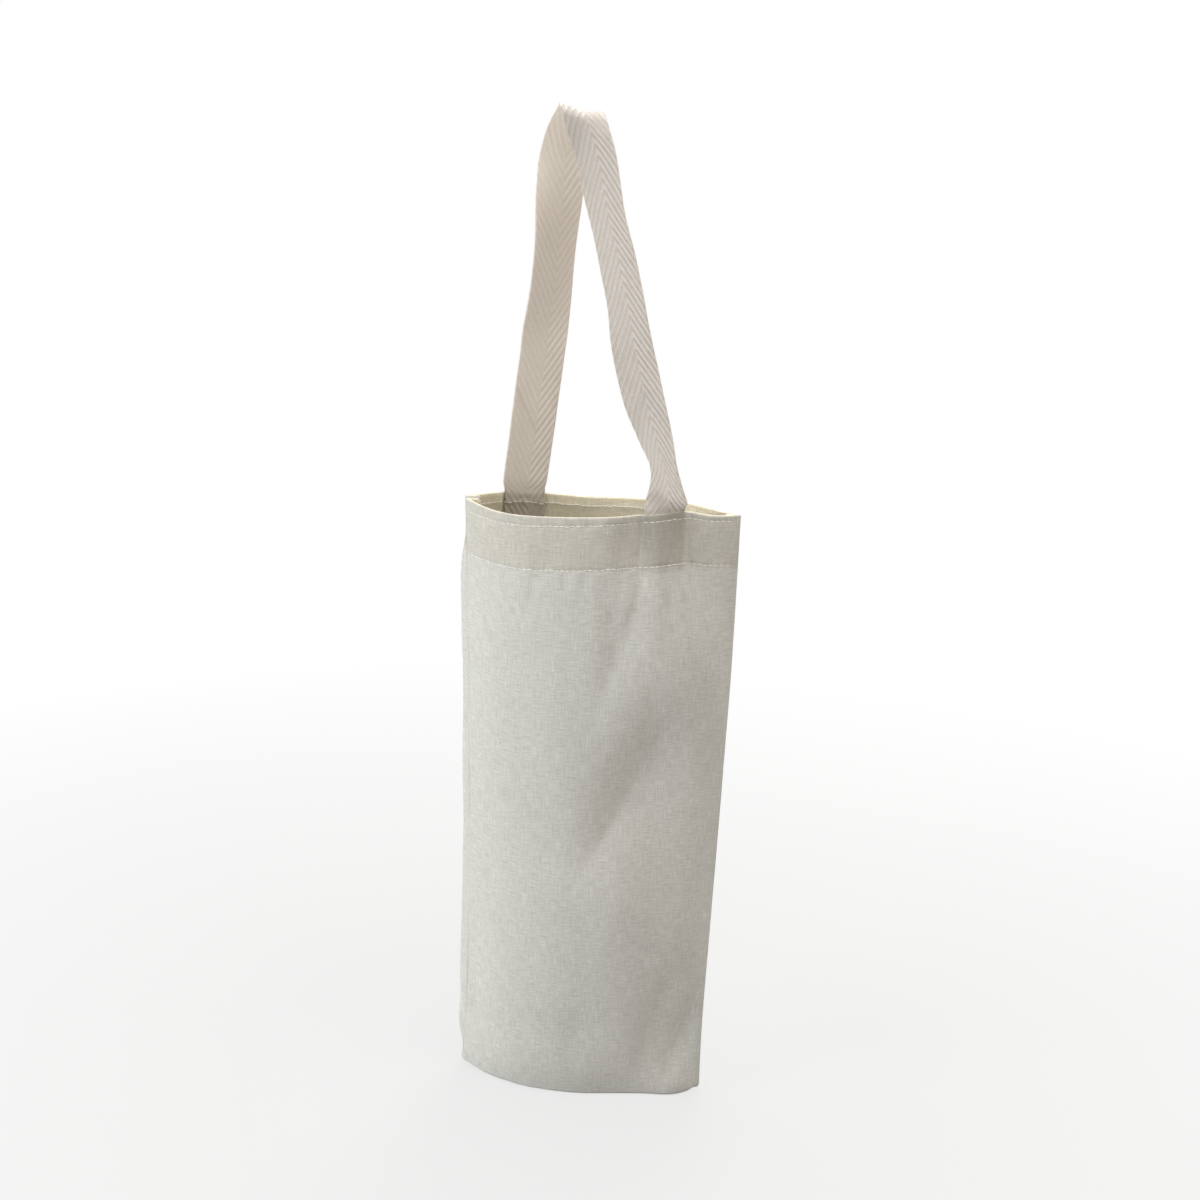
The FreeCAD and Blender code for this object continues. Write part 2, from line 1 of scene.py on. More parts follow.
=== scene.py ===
"""Looks of a calico bottle carrier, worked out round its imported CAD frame.

Two sewn calico panels with a turned hem, lines of stitching, seam threads with overlocked edges, and one
herringbone webbing handle. Shapes are worked out in millimetres and go into the meshes in metres.
+Z is up, +X to the right seen from the front, and -Y the front, as in the frame.
"""
import json
import math
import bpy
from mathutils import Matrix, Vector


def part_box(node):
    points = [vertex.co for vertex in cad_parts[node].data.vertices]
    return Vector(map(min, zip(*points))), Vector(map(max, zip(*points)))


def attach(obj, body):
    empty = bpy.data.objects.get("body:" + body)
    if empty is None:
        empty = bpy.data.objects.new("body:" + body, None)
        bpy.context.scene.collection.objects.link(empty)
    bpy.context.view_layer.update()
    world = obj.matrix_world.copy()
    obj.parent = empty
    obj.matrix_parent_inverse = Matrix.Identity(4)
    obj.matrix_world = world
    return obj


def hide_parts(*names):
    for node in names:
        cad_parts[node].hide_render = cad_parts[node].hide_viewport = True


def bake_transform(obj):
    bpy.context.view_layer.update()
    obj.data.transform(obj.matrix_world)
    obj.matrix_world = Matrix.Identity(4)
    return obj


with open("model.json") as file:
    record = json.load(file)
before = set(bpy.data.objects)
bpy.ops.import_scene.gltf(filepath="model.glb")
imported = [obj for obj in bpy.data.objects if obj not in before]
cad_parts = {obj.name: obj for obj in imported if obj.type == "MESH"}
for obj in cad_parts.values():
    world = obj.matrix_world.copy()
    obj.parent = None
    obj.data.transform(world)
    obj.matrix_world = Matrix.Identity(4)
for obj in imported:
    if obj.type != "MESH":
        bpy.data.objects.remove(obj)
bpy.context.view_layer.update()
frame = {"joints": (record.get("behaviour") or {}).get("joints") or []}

from types import SimpleNamespace

import bpy
import numpy as np
from bpy.props import FloatProperty, FloatVectorProperty, PointerProperty
from mathutils import Matrix

bl_info = {
    "name": "Calico Bottle Carrier",
    "version": (1, 0, 0),
    "blender": (4, 5, 0),
    "location": "View3D > Sidebar > Carrier",
    "description": "Dresses the CAD frame of a bottle carrier in calico, webbing and thread",
    "category": "Add Mesh",
}

MM = 0.001

# The frame's own sizes, in millimetres
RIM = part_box("front_panel")[1].z / MM
HINGES = {joint["name"]: joint for joint in frame["joints"]}
LEAN_HEIGHT = HINGES["handle_lean"]["pos_m"][2] / MM
DROP_HEIGHT = HINGES["handle_drop"]["pos_m"][2] / MM
STRAP_MIDDLE = np.array(HINGES["handle_lean"]["pos_m"]) / MM * (1, 1, 0)
SPAN_WAY = np.array(HINGES["handle_lean"]["axis"])
BACK_WAY = np.array((-SPAN_WAY[1], SPAN_WAY[0], 0.0))
UP = np.array((0.0, 0.0, 1.0))

SIDES = ("front", "back")
SEAMS = ("left", "right", "bottom")
# Which way along Y a panel faces
FACING = {"front": -1, "back": 1}

# The sack in level sections. Each line is a height, the left and right side seams, and the handles of the
# two Bezier arcs between the seams: front panel at the left and right, back panel at the left and right.
WALL_SECTIONS = (
    (0, (-74.0, 0.0), (73.0, 0.0), (34, -35), (-42, -25), (34, 24), (-36, 34)),
    (14, (-72.8, -2.0), (72.8, 0.5), (34, -38), (-42, -27), (-17, 26), (-36, 36)),
    (45, (-70.8, -4.0), (72.8, 1.5), (36, -37), (-40, -31), (-38, 28), (-36, 40)),
    (120, (-70.6, -4.5), (74.2, 2.0), (36, -37), (-40, -34), (-38, 29), (-36, 42)),
    (200, (-71.4, -4.5), (76.0, 2.0), (36, -38), (-40, -35), (-36, 29), (-36, 42)),
    (280, (-73.2, -4.0), (77.2, 1.0), (36, -41), (-42, -32), (-39, 29), (-37, 42)),
    (320, (-75.4, -2.5), (77.3, 0.5), (35, -46), (-44, -27), (-28, 30), (-38, 42)),
    (352, (-77.2, 0.0), (77.2, 0.0), (35, -50), (-45, -22), (30, 31), (-38, 42)),
)
# How high the rim stands at shares of the way from the left seam to the right seam
RIM_PLACES = {
    "front": (0.0, 0.198, 0.44, 0.616, 0.722, 0.805, 0.906, 1.0),
    "back": (0.0, 0.172, 0.427, 0.609, 0.715, 0.798, 0.90, 1.0),
}
RIM_HEIGHTS = {
    "front": (353.4, 350.2, 351.0, 352.6, 353.8, 355.2, 353.0, 353.2),
    "back": (354.6, 355.8, 353.8, 354.2, 354.6, 354.4, 353.2, 353.2),
}
# Drop of each line of hem stitching below the rim, at the left seam and at the right seam
STITCH_DROPS = {
    "rim": {"front": (6.2, 2.6), "back": (5.4, 4.4)},
    "hem": {"front": (30.4, 27.2), "back": (29.6, 28.6)},
}
# About how far below the rim the hem's own line of stitching lies
HEM_LINE = 29.0

# Creases over the place across and the height: start and end of the valley's line, its depth, and the widths
# of its left and right flanks. The back isn't seen, and has the same kind of creases in other places.
CREASES = {
    "front": (
        ((9, 158), (40, 216), 11.4, 18, 42),
        ((30, 322), (14, 266), 2.4, 9, 7),
        ((25, 320), (25, 352), 5.2, 15, 4),
        ((51, 320), (51, 354), 3.0, 18, 9),
        ((58, 292), (52, 326), 2.0, 4, 5),
        ((64, 300), (60, 324), 1.4, 3, 4),
        ((44, 292), (41, 322), 1.4, 4, 4),
        ((-36, 296), (-30, 318), 0.9, 3, 5),
        ((-44, 6), (-66, 50), 1.6, 9, 7),
        ((54, 16), (63, 44), 3.6, 6, 8),
        ((40, 24), (49, 62), 3.0, 7, 10),
    ),
    "back": (
        ((30, 120), (-40, 210), 2.6, 20, 14),
        ((-56, 296), (-50, 326), 0.8, 4, 4),
        ((-30, 290), (-33, 324), 0.7, 4, 5),
        ((52, 10), (66, 50), 1.6, 7, 9),
        ((-48, 8), (-60, 46), 1.8, 8, 7),
    ),
}
# Mounds and dips over the same places: centre, reach across and along, and height
MOUNDS = {
    "front": (
        ((46, 196), (30, 78), 3.2),
        ((66, 192), (22, 90), 2.6),
        ((46, 266), (18, 34), 1.8),
        ((12, 296), (5, 20), -0.9),
        ((13, 360), (12, 27), 4.2),
        ((58, 4), (13, 18), 4.6),
        ((0, 38), (14, 22), -2.0),
        ((-38, 300), (16, 30), 0.8),
    ),
    "back": (((-20, 250), (30, 40), 1.2),),
}
# Soft waves of the cloth: height, squeeze along the wall, and shortest and longest wave
WAVES = {
    "broad": (0.45, 0.5, 30, 90),
    "fine": (0.035, 0.6, 7, 18),
    "stitch": (0.14, 0.2, 3.5, 9),
    "pucker": (0.09, 0.16, 4, 12),
}
WAVE_SEEDS = {"front": 11, "back": 23}
# How fast the puckers fade below the hem's stitching, and their share on the hem
PUCKER_FADE = 22
HEM_PUCKERS = 0.35
# How far a strap end lifts the cloth, and how deep and how far up and down a line of stitches pulls it in
STRAP_SWELL = 0.8
STITCH_PULL = 0.34
STITCH_REACH = 1.2
# The share of a panel's width that each side seam holds, and the share of the folds that is left at the seam
SEAM_HOLD = 0.06
HELD_FOLDS = 0.15

# The free handle from the front foot over the top to the back foot. Each line is a place along the span of
# the feet, how far behind the strap plane, a height, and the turn and tilt of the webbing's width in degrees.
HANDLE_STATIONS = (
    (45.5, 2.5, 321, 17.7, 0),
    (45.4, 2.5, 345, 17.7, 0),
    (44.2, 3.5, 356, -8, 0),
    (42.4, 5.2, 366, -36, 0),
    (40.4, 5.0, 378, -46, 0),
    (36.0, 3.4, 392, -34, 0),
    (29.6, 1.4, 410, -22, 0),
    (22.3, 0.0, 436, -14, 0),
    (14.4, -0.5, 470, -26, 0),
    (5.4, -1.0, 501, -31, 0),
    (-1.0, -2.2, 525, -25, 1),
    (-4.6, -3.4, 541, -20, 0),
    (-9.2, -4.2, 554, -13, -4),
    (-12.2, -3.2, 560.4, -8, -8),
    (-15.6, 0.0, 563.2, -6, -10),
    (-19.6, 3.2, 560.6, -5, -10),
    (-24.4, 4.2, 554, -5, -9),
    (-28.2, 3.6, 541, -6, -6),
    (-28.8, 2.6, 524, 12, -3),
    (-29.4, 1.4, 500, 32, -1),
    (-32.0, 0.7, 465, 32, 0),
    (-34.6, 0.1, 442, 20, 0),
    (-42.1, 0.0, 382, 20, 0),
    (-45.2, 0.0, 356, 22.1, 0),
    (-45.5, 0.0, 345, 22.1, 0),
    (-45.5, 0.0, 321, 22.1, 0),
)
# Place of each sewn end on its panel, as a share of the way from the left seam to the right seam
FOOT_PLACES = {"front": 0.745, "back": 0.21}
# Length over which the webbing eases from a sewn end to its free path, and over which its ribs straighten
FOOT_EASE = 13
STRAIGHT_END = 30.0
# Width of the webbing's thin edge
SELVEDGE = 0.7
# The webbing's sway, as a share of its width, and its flutter: size, seed, and shortest and longest wave
SWAY = (0.010, 5, 18, 80)
FLUTTER = (0.35, 8, 26, 70)
# Its dip at the top fold: place across, reach across and along, and depth
CROWN_PLACE = 0.5
CROWN_REACH = (5.5, 13)
CROWN_DIP = 1.9
# How far the webbing's columns crowd to its edges, and the share of the ribs' relief on its inner side
EDGE_CROWD = 0.86
INNER_RELIEF = 0.6

# Half the length of the bottom seam, and how far the base rises between it and the wall
BASE_HALF = 70.5
BASE_RISE = 1.6
# Where the stitches and the overlock thread of each seam start and end: heights at a side, X at the bottom.
# The last number is how many places carry the overlock thread.
SEAM_RUNS = {"left": (10, RIM - 36), "right": (10, RIM - 36), "bottom": (-66, 66)}
OVERLOCK_RUNS = {"left": (9, RIM - 1.2, 60), "right": (9, RIM - 1.2, 60), "bottom": (-66, 66, 40)}
# How far the turned hem's ends stand in from the side seams, as a share of the panel
FACING_INSET = 0.018
# Play between a layer of cloth and what is sewn to it, and from the cloth of a seam to its middle
LAYER_PLAY = 0.15
SEAM_PLAY = 0.05
# How deep overlock thread wraps an edge and how far it stands off, and how deep the ends of a stitch dip
OVERLOCK_DEPTH = 3.8
OVERLOCK_PLAY = 0.3
HEM_SINK = 0.32
SEAM_SINK = 0.3
# Length that a line of hem stitching leaves free, and how uneven its stitches are: height, tip out, tip up
HEM_FREE = 8
STITCH_HAND = (0.12, 0.01, 0.03)

# How finely the pieces are made
ARC_STEPS = 32
ACROSS_STEPS = 132
WALL_ROWS = 250
WALL_HEM_ROWS = 62
HEM_ROWS = 22
FOLD_ROWS = 5
ALLOWANCE_STEPS = 4
TURN_ROWS = 5
BASE_ROWS = 11
BOTTOM_ROWS = 3
STITCH_RINGS = 7
STITCH_SIDES = 6
OVERLOCK_TURN_STEPS = 14
OVERLOCK_SIDES = 5
RIB_ROWS = 14
LEG_COLUMNS = 96
LOOP_COLUMNS = 48
PATH_STEPS = 6000
# Steps across, as a share of the panel, and up, for the slopes of a wall
SHARE_STEP = 0.002
HEIGHT_STEP = 0.5

# Painted light and shade, multiplied into the calico's colour: painted shade where the hem doubles the cloth,
# painted shadow where a sewn strap end lies behind, and painted light on the turned hem inside the sack
PAINTED_LIGHT_TINTS = {
    "double_cloth": (0.945, 0.92, 0.88),
    "strap_behind": (0.74, 0.72, 0.70),
    "turned_hem": (1.24, 1.15, 0.97),
}
SEED_COLOUR = (0.16, 0.10, 0.05, 1.0)
# Painted warm light on the webbing's inner face: its colour multiplied lighter and warmer
TAPE_BACK_LIGHT_TINT = (1.12, 1.045, 0.94, 1.0)
WHITE = (1, 1, 1, 1)
# Pitch of the calico's yarns, and how far uneven yarns shift the tone of the webbing's ribs, in metres
YARN_PITCH = 0.00043
RIB_WANDER = 0.0042

# Lamps: place and size in metres, and colour. Their watts are settings.
LAMPS = {
    "key": ((-1.22, -0.66, 0.37), 0.7, (0.98, 1.0, 1.0)),
    "top": ((0.35, -0.5, 1.6), 1.0, (1.0, 0.98, 0.95)),
    "side": ((1.2, -0.35, 0.8), 0.9, (1.0, 0.94, 0.85)),
    "rear": ((0.15, 1.1, 0.5), 0.8, (1.0, 0.96, 0.90)),
    "hair": ((-0.05, 0.12, 1.25), 0.4, (1.0, 0.99, 0.97)),
}
LAMP_TARGET = (0.0, 0.0, 0.24)
FLOOR_HALF = 6000
FLOOR_DROP = 0.2


def number_setting(label, text, default, unit="NONE"):
    """A number, plain or with a unit."""
    return FloatProperty(name=label, description=text, default=default, unit=unit)


def length_setting(label, text, default):
    """A length in metres."""
    return FloatProperty(name=label, description=text, default=default, unit="LENGTH", precision=5)


def angle_setting(label, text, degrees):
    """An angle."""
    return FloatProperty(name=label, description=text, default=math.radians(degrees), subtype="ANGLE")


def colour_setting(label, text, default):
    """A colour."""
    return FloatVectorProperty(name=label, description=text, default=default, subtype="COLOR", size=3)


class CarrierSizes(bpy.types.PropertyGroup):
    """Sizes of the calico sack, the herringbone webbing and the sewing threads."""

    cloth: length_setting("Cloth", "Thickness of the calico", 0.0006)
    hem_depth: length_setting("Hem depth", "How far the hem is turned down inside", 0.032)
    layer_step: length_setting("Layer step", "Wall to turned hem, middle to middle", 0.001)
    allowance: length_setting("Seam allowance", "Width of cloth turned in at a seam", 0.008)
    base_radius: length_setting("Base radius", "Rounding where the wall turns under", 0.0025)
    strap_width: length_setting("Strap width", "Width of the webbing", 0.025)
    strap_thick: length_setting("Strap thickness", "Thickness of the webbing", 0.0014)
    tuck: length_setting("Tuck", "How far a sewn strap end reaches below the rim", 0.031)
    rib_pitch: length_setting("Rib pitch", "Along the webbing, rib to rib", 0.0060)
    rib_slope: number_setting("Rib slope", "How far a rib runs along the webbing for its way across", 1.8)
    rib_height: length_setting("Rib height", "Relief of the ribs", 0.00042)
    spine: length_setting("Spine", "Where the ribs meet, off the webbing's middle", 0.0018)
    stitch_pitch: length_setting("Stitch pitch", "Stitch to stitch along a line", 0.0031)
    stitch_length: length_setting("Stitch length", "Length of thread that shows", 0.0027)
    thread_radius: length_setting("Thread radius", "Half the thread's thickness", 0.00027)
    seam_inset: length_setting("Seam inset", "Seam to its line of stitching", 0.004)
    overlock_pitch: length_setting("Overlock pitch", "Loop to loop of the edge thread", 0.0024)


class CarrierColours(bpy.types.PropertyGroup):
    """Colours of the cloth, webbing and thread."""

    calico: colour_setting("Calico", "Unbleached cotton", (0.80, 0.79, 0.75))
    calico_through: colour_setting("Calico, through", "Light let through", (0.80, 0.80, 0.77))
    webbing: colour_setting("Webbing", "Natural cotton tape", (0.69, 0.665, 0.64))
    thread: colour_setting("Thread", "Sewing thread", (0.86, 0.84, 0.80))
    floor: colour_setting("Floor", "Studio floor", (0.40, 0.40, 0.40))


class StageSettings(bpy.types.PropertyGroup):
    """Camera and light."""

    azimuth: angle_setting("Azimuth", "Camera, round from the front", 7.86)
    pitch: angle_setting("Pitch", "Camera, looking down", 13.97)
    roll: angle_setting("Roll", "Camera, turned about its view", 2.2)
    distance: length_setting("Distance", "Camera to what it looks at", 0.8145)
    lens: number_setting("Lens", "Focal length in millimetres", 43.26, "CAMERA")
    aim: FloatVectorProperty(
        name="Aim",
        description="What the camera looks at",
        default=(0.00129, 0.0, 0.2999),
        subtype="TRANSLATION",
    )
    key: number_setting("Key light", "Lamp at the left, in watts", 17.2, "POWER")
    top: number_setting("Top light", "Lamp above, in watts", 11.5, "POWER")
    side: number_setting("Side light", "Lamp at the right, in watts", 6.4, "POWER")
    rear: number_setting("Rear light", "Lamp behind, in watts", 11.0, "POWER")
    hair: number_setting("Hair light", "Lamp straight above, in watts", 9.0, "POWER")
    fill: number_setting("Fill", "Strength of the light all round", 0.06)


def setting_names(group):
    """Names of a group's settings."""
    return [key for key in group.bl_rna.properties.keys() if key not in ("rna_type", "name")]


def sizes():
    """The carrier's sizes, with its lengths in millimetres."""
    group = bpy.context.scene.carrier_sizes
    found = SimpleNamespace()
    for key in setting_names(group):
        is_length = group.bl_rna.properties[key].unit == "LENGTH"
        setattr(found, key, getattr(group, key) / (MM if is_length else 1))
    return found


def smooth_through(knots, values, at):
    """Values between knots by Hermite cubics, whose slopes at each knot come from its two neighbours."""
    knots = np.asarray(knots, float)
    values = np.asarray(values, float)
    slopes = np.gradient(values, knots, axis=0)
    at = np.clip(np.asarray(at, float), knots[0], knots[-1])
    low = np.clip(np.searchsorted(knots, at, side="right") - 1, 0, len(knots) - 2)
    span = knots[low + 1] - knots[low]
    share = (at - knots[low]) / span
    if values.ndim > 1:
        share = share[..., None]
        span = span[..., None]
    rest = 1 - share
    start = (1 + 2 * share) * rest**2 * values[low] + share * rest**2 * span * slopes[low]
    end = share**2 * (3 - 2 * share) * values[low + 1] - share**2 * rest * span * slopes[low + 1]
    return start + end


def ease(share):
    """A smooth step from 0 to 1."""
    share = np.clip(share, 0, 1)
    return share * share * (3 - 2 * share)


def unit(vectors):
    """Vectors of length one."""
    return vectors / np.maximum(np.linalg.norm(vectors, axis=-1, keepdims=True), 1e-9)


def run_lengths(points):
    """Lengths run from the first of a line of points to each of them."""
    return np.concatenate([[0], np.cumsum(np.linalg.norm(np.diff(points, axis=0), axis=-1))])


def ripples(across, along, seed, shortest, longest, count=28):
    """Soft uneven waves of about unit height: a sum of sine waves of seeded direction, length and phase."""
    draw = np.random.default_rng(seed)
    lengths = np.exp(draw.uniform(math.log(shortest), math.log(longest), count))
    angles = draw.uniform(0, math.pi, count)
    phases = draw.uniform(0, 2 * math.pi, count)
    across = np.asarray(across, float)[..., None]
    along = np.asarray(along, float)[..., None]
    travel = (across * np.cos(angles) + along * np.sin(angles)) / lengths
    weights = lengths / lengths.max()
    return (np.sin(2 * math.pi * travel + phases) * weights).sum(-1) / math.sqrt((weights**2).sum() / 2)


def waves(kind, side, across, along):
    """One kind of soft waves of a panel, which has a seed of its own."""
    height, squeeze, shortest, longest = WAVES[kind]
    seed = WAVE_SEEDS[side] + list(WAVES).index(kind)
    return height * ripples(across, along * squeeze, seed, shortest, longest)


def mound(across, along, centre, reach, height):
    """A soft mound: a Gaussian about a centre, with its reach across and along."""
    return height * np.exp(-(((across - centre[0]) / reach[0]) ** 2) - ((along - centre[1]) / reach[1]) ** 2)


def crease(across, along, start, end, depth, steep, gentle):
    """A valley along a line, which falls over the steep width on its left and rises over the gentle width,
    sharp at its start and softer towards its end."""
    start, end = np.array(start, float), np.array(end, float)
    length = np.linalg.norm(end - start)
    way = (end - start) / length
    travel = ((across - start[0]) * way[0] + (along - start[1]) * way[1]) / length
    off = (across - start[0]) * way[1] - (along - start[1]) * way[0]
    # The gentle flank is widest at the start, the bottom rounds off, and both ends fade out
    width = np.where(off < 0, steep, gentle * (1.7 - 0.7 * ease(travel)))
    soft = 0.04 + 0.5 * ease((travel - 0.2) / 0.8)
    fall = np.exp(-(np.sqrt((off / width) ** 2 + soft**2) ** 1.3 - soft**1.3))
    window = ease((travel + 0.5) / 1.05) * ease((1.9 - travel) / 1.2)
    return -depth * fall * window


def folds(side, across, along):
    """Folds of a panel over its place across and its height, outwards."""
    valleys = sum(crease(across, along, *fold) for fold in CREASES[side])
    return valleys + sum(mound(across, along, *fold) for fold in MOUNDS[side])


def arc(ends, t):
    """A Bezier arc (1-t)^3 L + 3 (1-t)^2 t (L + a) + 3 (1-t) t^2 (R + b) + t^3 R in level places."""
    left, right, near, far = ends[..., 0:2], ends[..., 2:4], ends[..., 4:6], ends[..., 6:8]
    t = t[..., None]
    near, far = left + near, right + far
    return (1 - t) ** 3 * left + 3 * (1 - t) ** 2 * t * near + 3 * (1 - t) * t**2 * far + t**3 * right


def even_arc(ends, share):
    """Places on Bezier arcs at shares of their length, read between the corners of a run of short chords."""
    steps = np.linspace(0, 1, ARC_STEPS + 1)
    corners = arc(ends[..., None, :], np.broadcast_to(steps, ends.shape[:-1] + steps.shape))
    chords = np.linalg.norm(np.diff(corners, axis=-2), axis=-1)
    run = np.cumsum(chords, axis=-1)
    target = share * run[..., -1]
    place = np.minimum((run < target[..., None]).sum(-1), ARC_STEPS - 1)[..., None]
    whole = target.shape + (ARC_STEPS,)
    chord = np.take_along_axis(np.broadcast_to(chords, whole), place, -1)[..., 0]
    before = np.take_along_axis(np.broadcast_to(run, whole), place, -1)[..., 0] - chord
    return arc(ends, (place[..., 0] + (target - before) / chord) / ARC_STEPS)


def plain_wall(side, share, height):
    """The smooth wall: at each height an arc from the left seam to the right seam at a share of its length,
    lifted to the rim's own height."""
    share, height = np.asarray(share, float), np.asarray(height, float)
    heights = [section[0] for section in WALL_SECTIONS]
    points = np.array([np.concatenate(section[1:]) for section in WALL_SECTIONS])
    row = smooth_through(heights, points, height)
    first = 4 if side == "front" else 8
    level = even_arc(np.concatenate([row[..., :4], row[..., first : first + 4]], -1), share)
    lift = (smooth_through(RIM_PLACES[side], RIM_HEIGHTS[side], share) - RIM) * (height / RIM) ** 2
    return np.concatenate([level, np.broadcast_to(height + lift, level.shape[:-1])[..., None]], -1)


def outward(surface, side, share, height):
    """The outward side of a wall, square to its slopes across and up."""
    before, after = np.clip(share - SHARE_STEP, 0, 1), np.clip(share + SHARE_STEP, 0, 1)
    across = surface(side, after, height) - surface(side, before, height)
    upward = surface(side, share, height + HEIGHT_STEP) - surface(side, share, height - HEIGHT_STEP)
    return -FACING[side] * unit(np.cross(across, upward))


def stitch_drop(line, side, share):
    """How far a line of stitching lies below the rim."""
    left, right = STITCH_DROPS[line][side]
    return left + (right - left) * share


def wall(side, share, height):
    """The wall with its folds, soft waves, puckers under the hem, the strap's thickness and the pull of the
    stitching, square to the smooth wall. The side seams hold it."""
    share, height = np.asarray(share, float), np.asarray(height, float)
    point = plain_wall(side, share, height)
    across, along = point[..., 0], point[..., 2]
    relief = folds(side, across, along)
    relief = relief + waves("broad", side, across, along) + waves("fine", side, across, along)
    depth = RIM - height
    below = np.clip(depth - HEM_LINE, 0, None)
    puckers = np.where(below > 0, np.exp(-below / PUCKER_FADE), HEM_PUCKERS)
    relief = relief + waves("pucker", side, across, along) * puckers
    strap = ease((sizes().strap_width / 2 + 1 - foot_distance(side, point)) / 2.2)
    relief = relief + STRAP_SWELL * strap * ease((HEM_LINE + 3 - depth) / 4)
    hold = ease(share / SEAM_HOLD) * ease((1 - share) / SEAM_HOLD)
    relief = relief * (HELD_FOLDS + (1 - HELD_FOLDS) * hold)
    pull = STITCH_PULL + waves("stitch", side, across, along)
    for line in STITCH_DROPS:
        off = depth - stitch_drop(line, side, share)
        relief = relief - pull * np.exp(-((off / STITCH_REACH) ** 2)) * hold
    return point + outward(plain_wall, side, share, height) * relief[..., None]


def wall_width(side, height):
    """Length of cloth across the wall at a height, seam to seam."""
    return run_lengths(plain_wall(side, np.linspace(0, 1, 200), height))[-1]


def foot_distance(side, points):
    """Level distance of points from the middle of a sewn strap end."""
    foot = plain_wall(side, FOOT_PLACES[side], RIM)
    return np.linalg.norm((points - foot)[..., :2], axis=-1)


def seam_ways(seam, run):
    """Places on a seam, by height at a side or by X at the bottom, and the ways from it into the sack and to
    the back. At a side both are level."""
    if seam == "bottom":
        middle = np.zeros_like(run)
        line = np.stack([run, middle, middle + sizes().cloth / 2], -1)
        return line, np.broadcast_to(UP, line.shape), np.broadcast_to((0.0, 1.0, 0.0), line.shape)
    line = plain_wall("front", float(seam == "right"), run)
    inside = unit(-line * (1, 1, 0))
    behind = np.stack([-inside[..., 1], inside[..., 0], 0 * inside[..., 0]], -1)
    return line, inside, behind


def grid_faces(index):
    """Quads between neighbouring rows and columns of grids of point numbers."""
    corners = (index[..., :-1, :-1], index[..., :-1, 1:], index[..., 1:, 1:], index[..., 1:, :-1])
    return np.stack(corners, -1).reshape(-1, 4)


def new_piece(name, points, faces, uv=None, sharp=40):
    """A mesh object at the origin from points in millimetres and quads."""
    points = np.asarray(points, float).reshape(-1, 3)
    mesh = bpy.data.meshes.new(name)
    mesh.vertices.add(len(points))
    mesh.vertices.foreach_set("co", (points * MM).astype(np.float32).ravel())
    mesh.loops.add(faces.size)
    mesh.loops.foreach_set("vertex_index", faces.astype(np.int32).ravel())
    mesh.polygons.add(len(faces))
    mesh.polygons.foreach_set("loop_start", np.arange(0, faces.size, 4, dtype=np.int32))
    mesh.update(calc_edges=True)
    mesh.polygons.foreach_set("use_smooth", np.ones(len(faces), bool))
    if uv is not None:
        layer = mesh.uv_layers.new(name="cloth")
        layer.data.foreach_set("uv", (uv.reshape(-1, 2)[faces.ravel()] * MM).astype(np.float32).ravel())
    mesh.validate()
    mesh.set_sharp_from_angle(angle=math.radians(sharp))
    piece = bpy.data.objects.new(name, mesh)
    bpy.context.scene.collection.objects.link(piece)
    return piece


def note_layer(piece, name, values):
    """A share over a piece's points as a point attribute, for its colour: painted light and shade, and which
    face of the webbing a point is on.
    """
    note = piece.data.attributes.new(name, "FLOAT", "POINT")
    note.data.foreach_set("value", np.asarray(values, np.float32))


def panel_rows(size):
    """The rows of a panel: height, share of the step in to the turned hem, and lift over the rim's fold."""
    hem_start = RIM - size.hem_depth - 4
    fold_start = RIM - 0.3
    turns = np.linspace(0, math.pi, FOLD_ROWS + 2)[1:-1]
    height = (
        np.linspace(size.base_radius, hem_start, WALL_ROWS - WALL_HEM_ROWS, endpoint=False),
        np.linspace(hem_start, fold_start, WALL_HEM_ROWS),
        np.full(FOLD_ROWS, fold_start),
        np.linspace(fold_start, RIM - size.hem_depth, HEM_ROWS),
    )
    layer = (np.zeros(WALL_ROWS), (1 - np.cos(turns)) / 2, np.ones(HEM_ROWS))
    lift = (np.zeros(WALL_ROWS), np.sin(turns) * size.layer_step / 2, np.zeros(HEM_ROWS))
    return [np.concatenate(rows)[:, None] for rows in (height, layer, lift)]


def allowance_columns(size, side, end, rows, edge):
    """A seam allowance beside the wall: from the seam into the sack, on this panel's side of the seam."""
    height, layer, _ = rows
    seam, inside, behind = seam_ways(end, height)
    start = 2.5 * layer
    steps = np.linspace(0, 1, ALLOWANCE_STEPS + 1)[1:]
    reach = start + (size.allowance - start) * steps
    off = (size.cloth / 2 + SEAM_PLAY + size.layer_step * layer) * FACING[side]
    spread = np.minimum(reach / 2.0, 1.0)
    away = behind if end == "left" else -behind
    points = seam + inside * reach[..., None] + away * (off * spread)[..., None]
    points[..., 2] = edge[:, 2:3]
    return points[:, ::-1] if end == "left" else points


def base_rows(size, side, bottom, share):
    """The half of the base under a panel: round under the wall, flat to the bottom seam, then up its
    allowance."""
    half = size.cloth / 2
    middle = np.full_like(share, FACING[side] * (half + SEAM_PLAY))
    seam = np.stack([BASE_HALF * (2 * share - 1), middle, 0 * share], -1)
    under = seam - bottom
    under[:, 2] = 0
    room = np.linalg.norm(under, axis=-1, keepdims=True)
    way = under / room
    radius = np.minimum(size.base_radius - half, 0.45 * room)
    rows = []
    top = bottom[:, 2:3]
    for turn in np.linspace(0, math.pi / 2, TURN_ROWS + 1)[1:]:
        drop = (top - half) * math.sin(turn)
        rows.append(bottom + way * radius * (1 - math.cos(turn)) - UP * drop)
    for part in np.linspace(0, 1, BASE_ROWS + 1)[1:]:
        rise = BASE_RISE * math.sin(math.pi * part) ** 2 * np.minimum(room / 20, 1)
        level = bottom + way * (radius + (room - radius) * part)
        rows.append(level * (1, 1, 0) + UP * (half + rise))
    for part in np.linspace(0, 1, BOTTOM_ROWS + 1)[1:]:
        rows.append(seam + UP * (half + size.allowance * part))
    return np.array(rows[::-1])


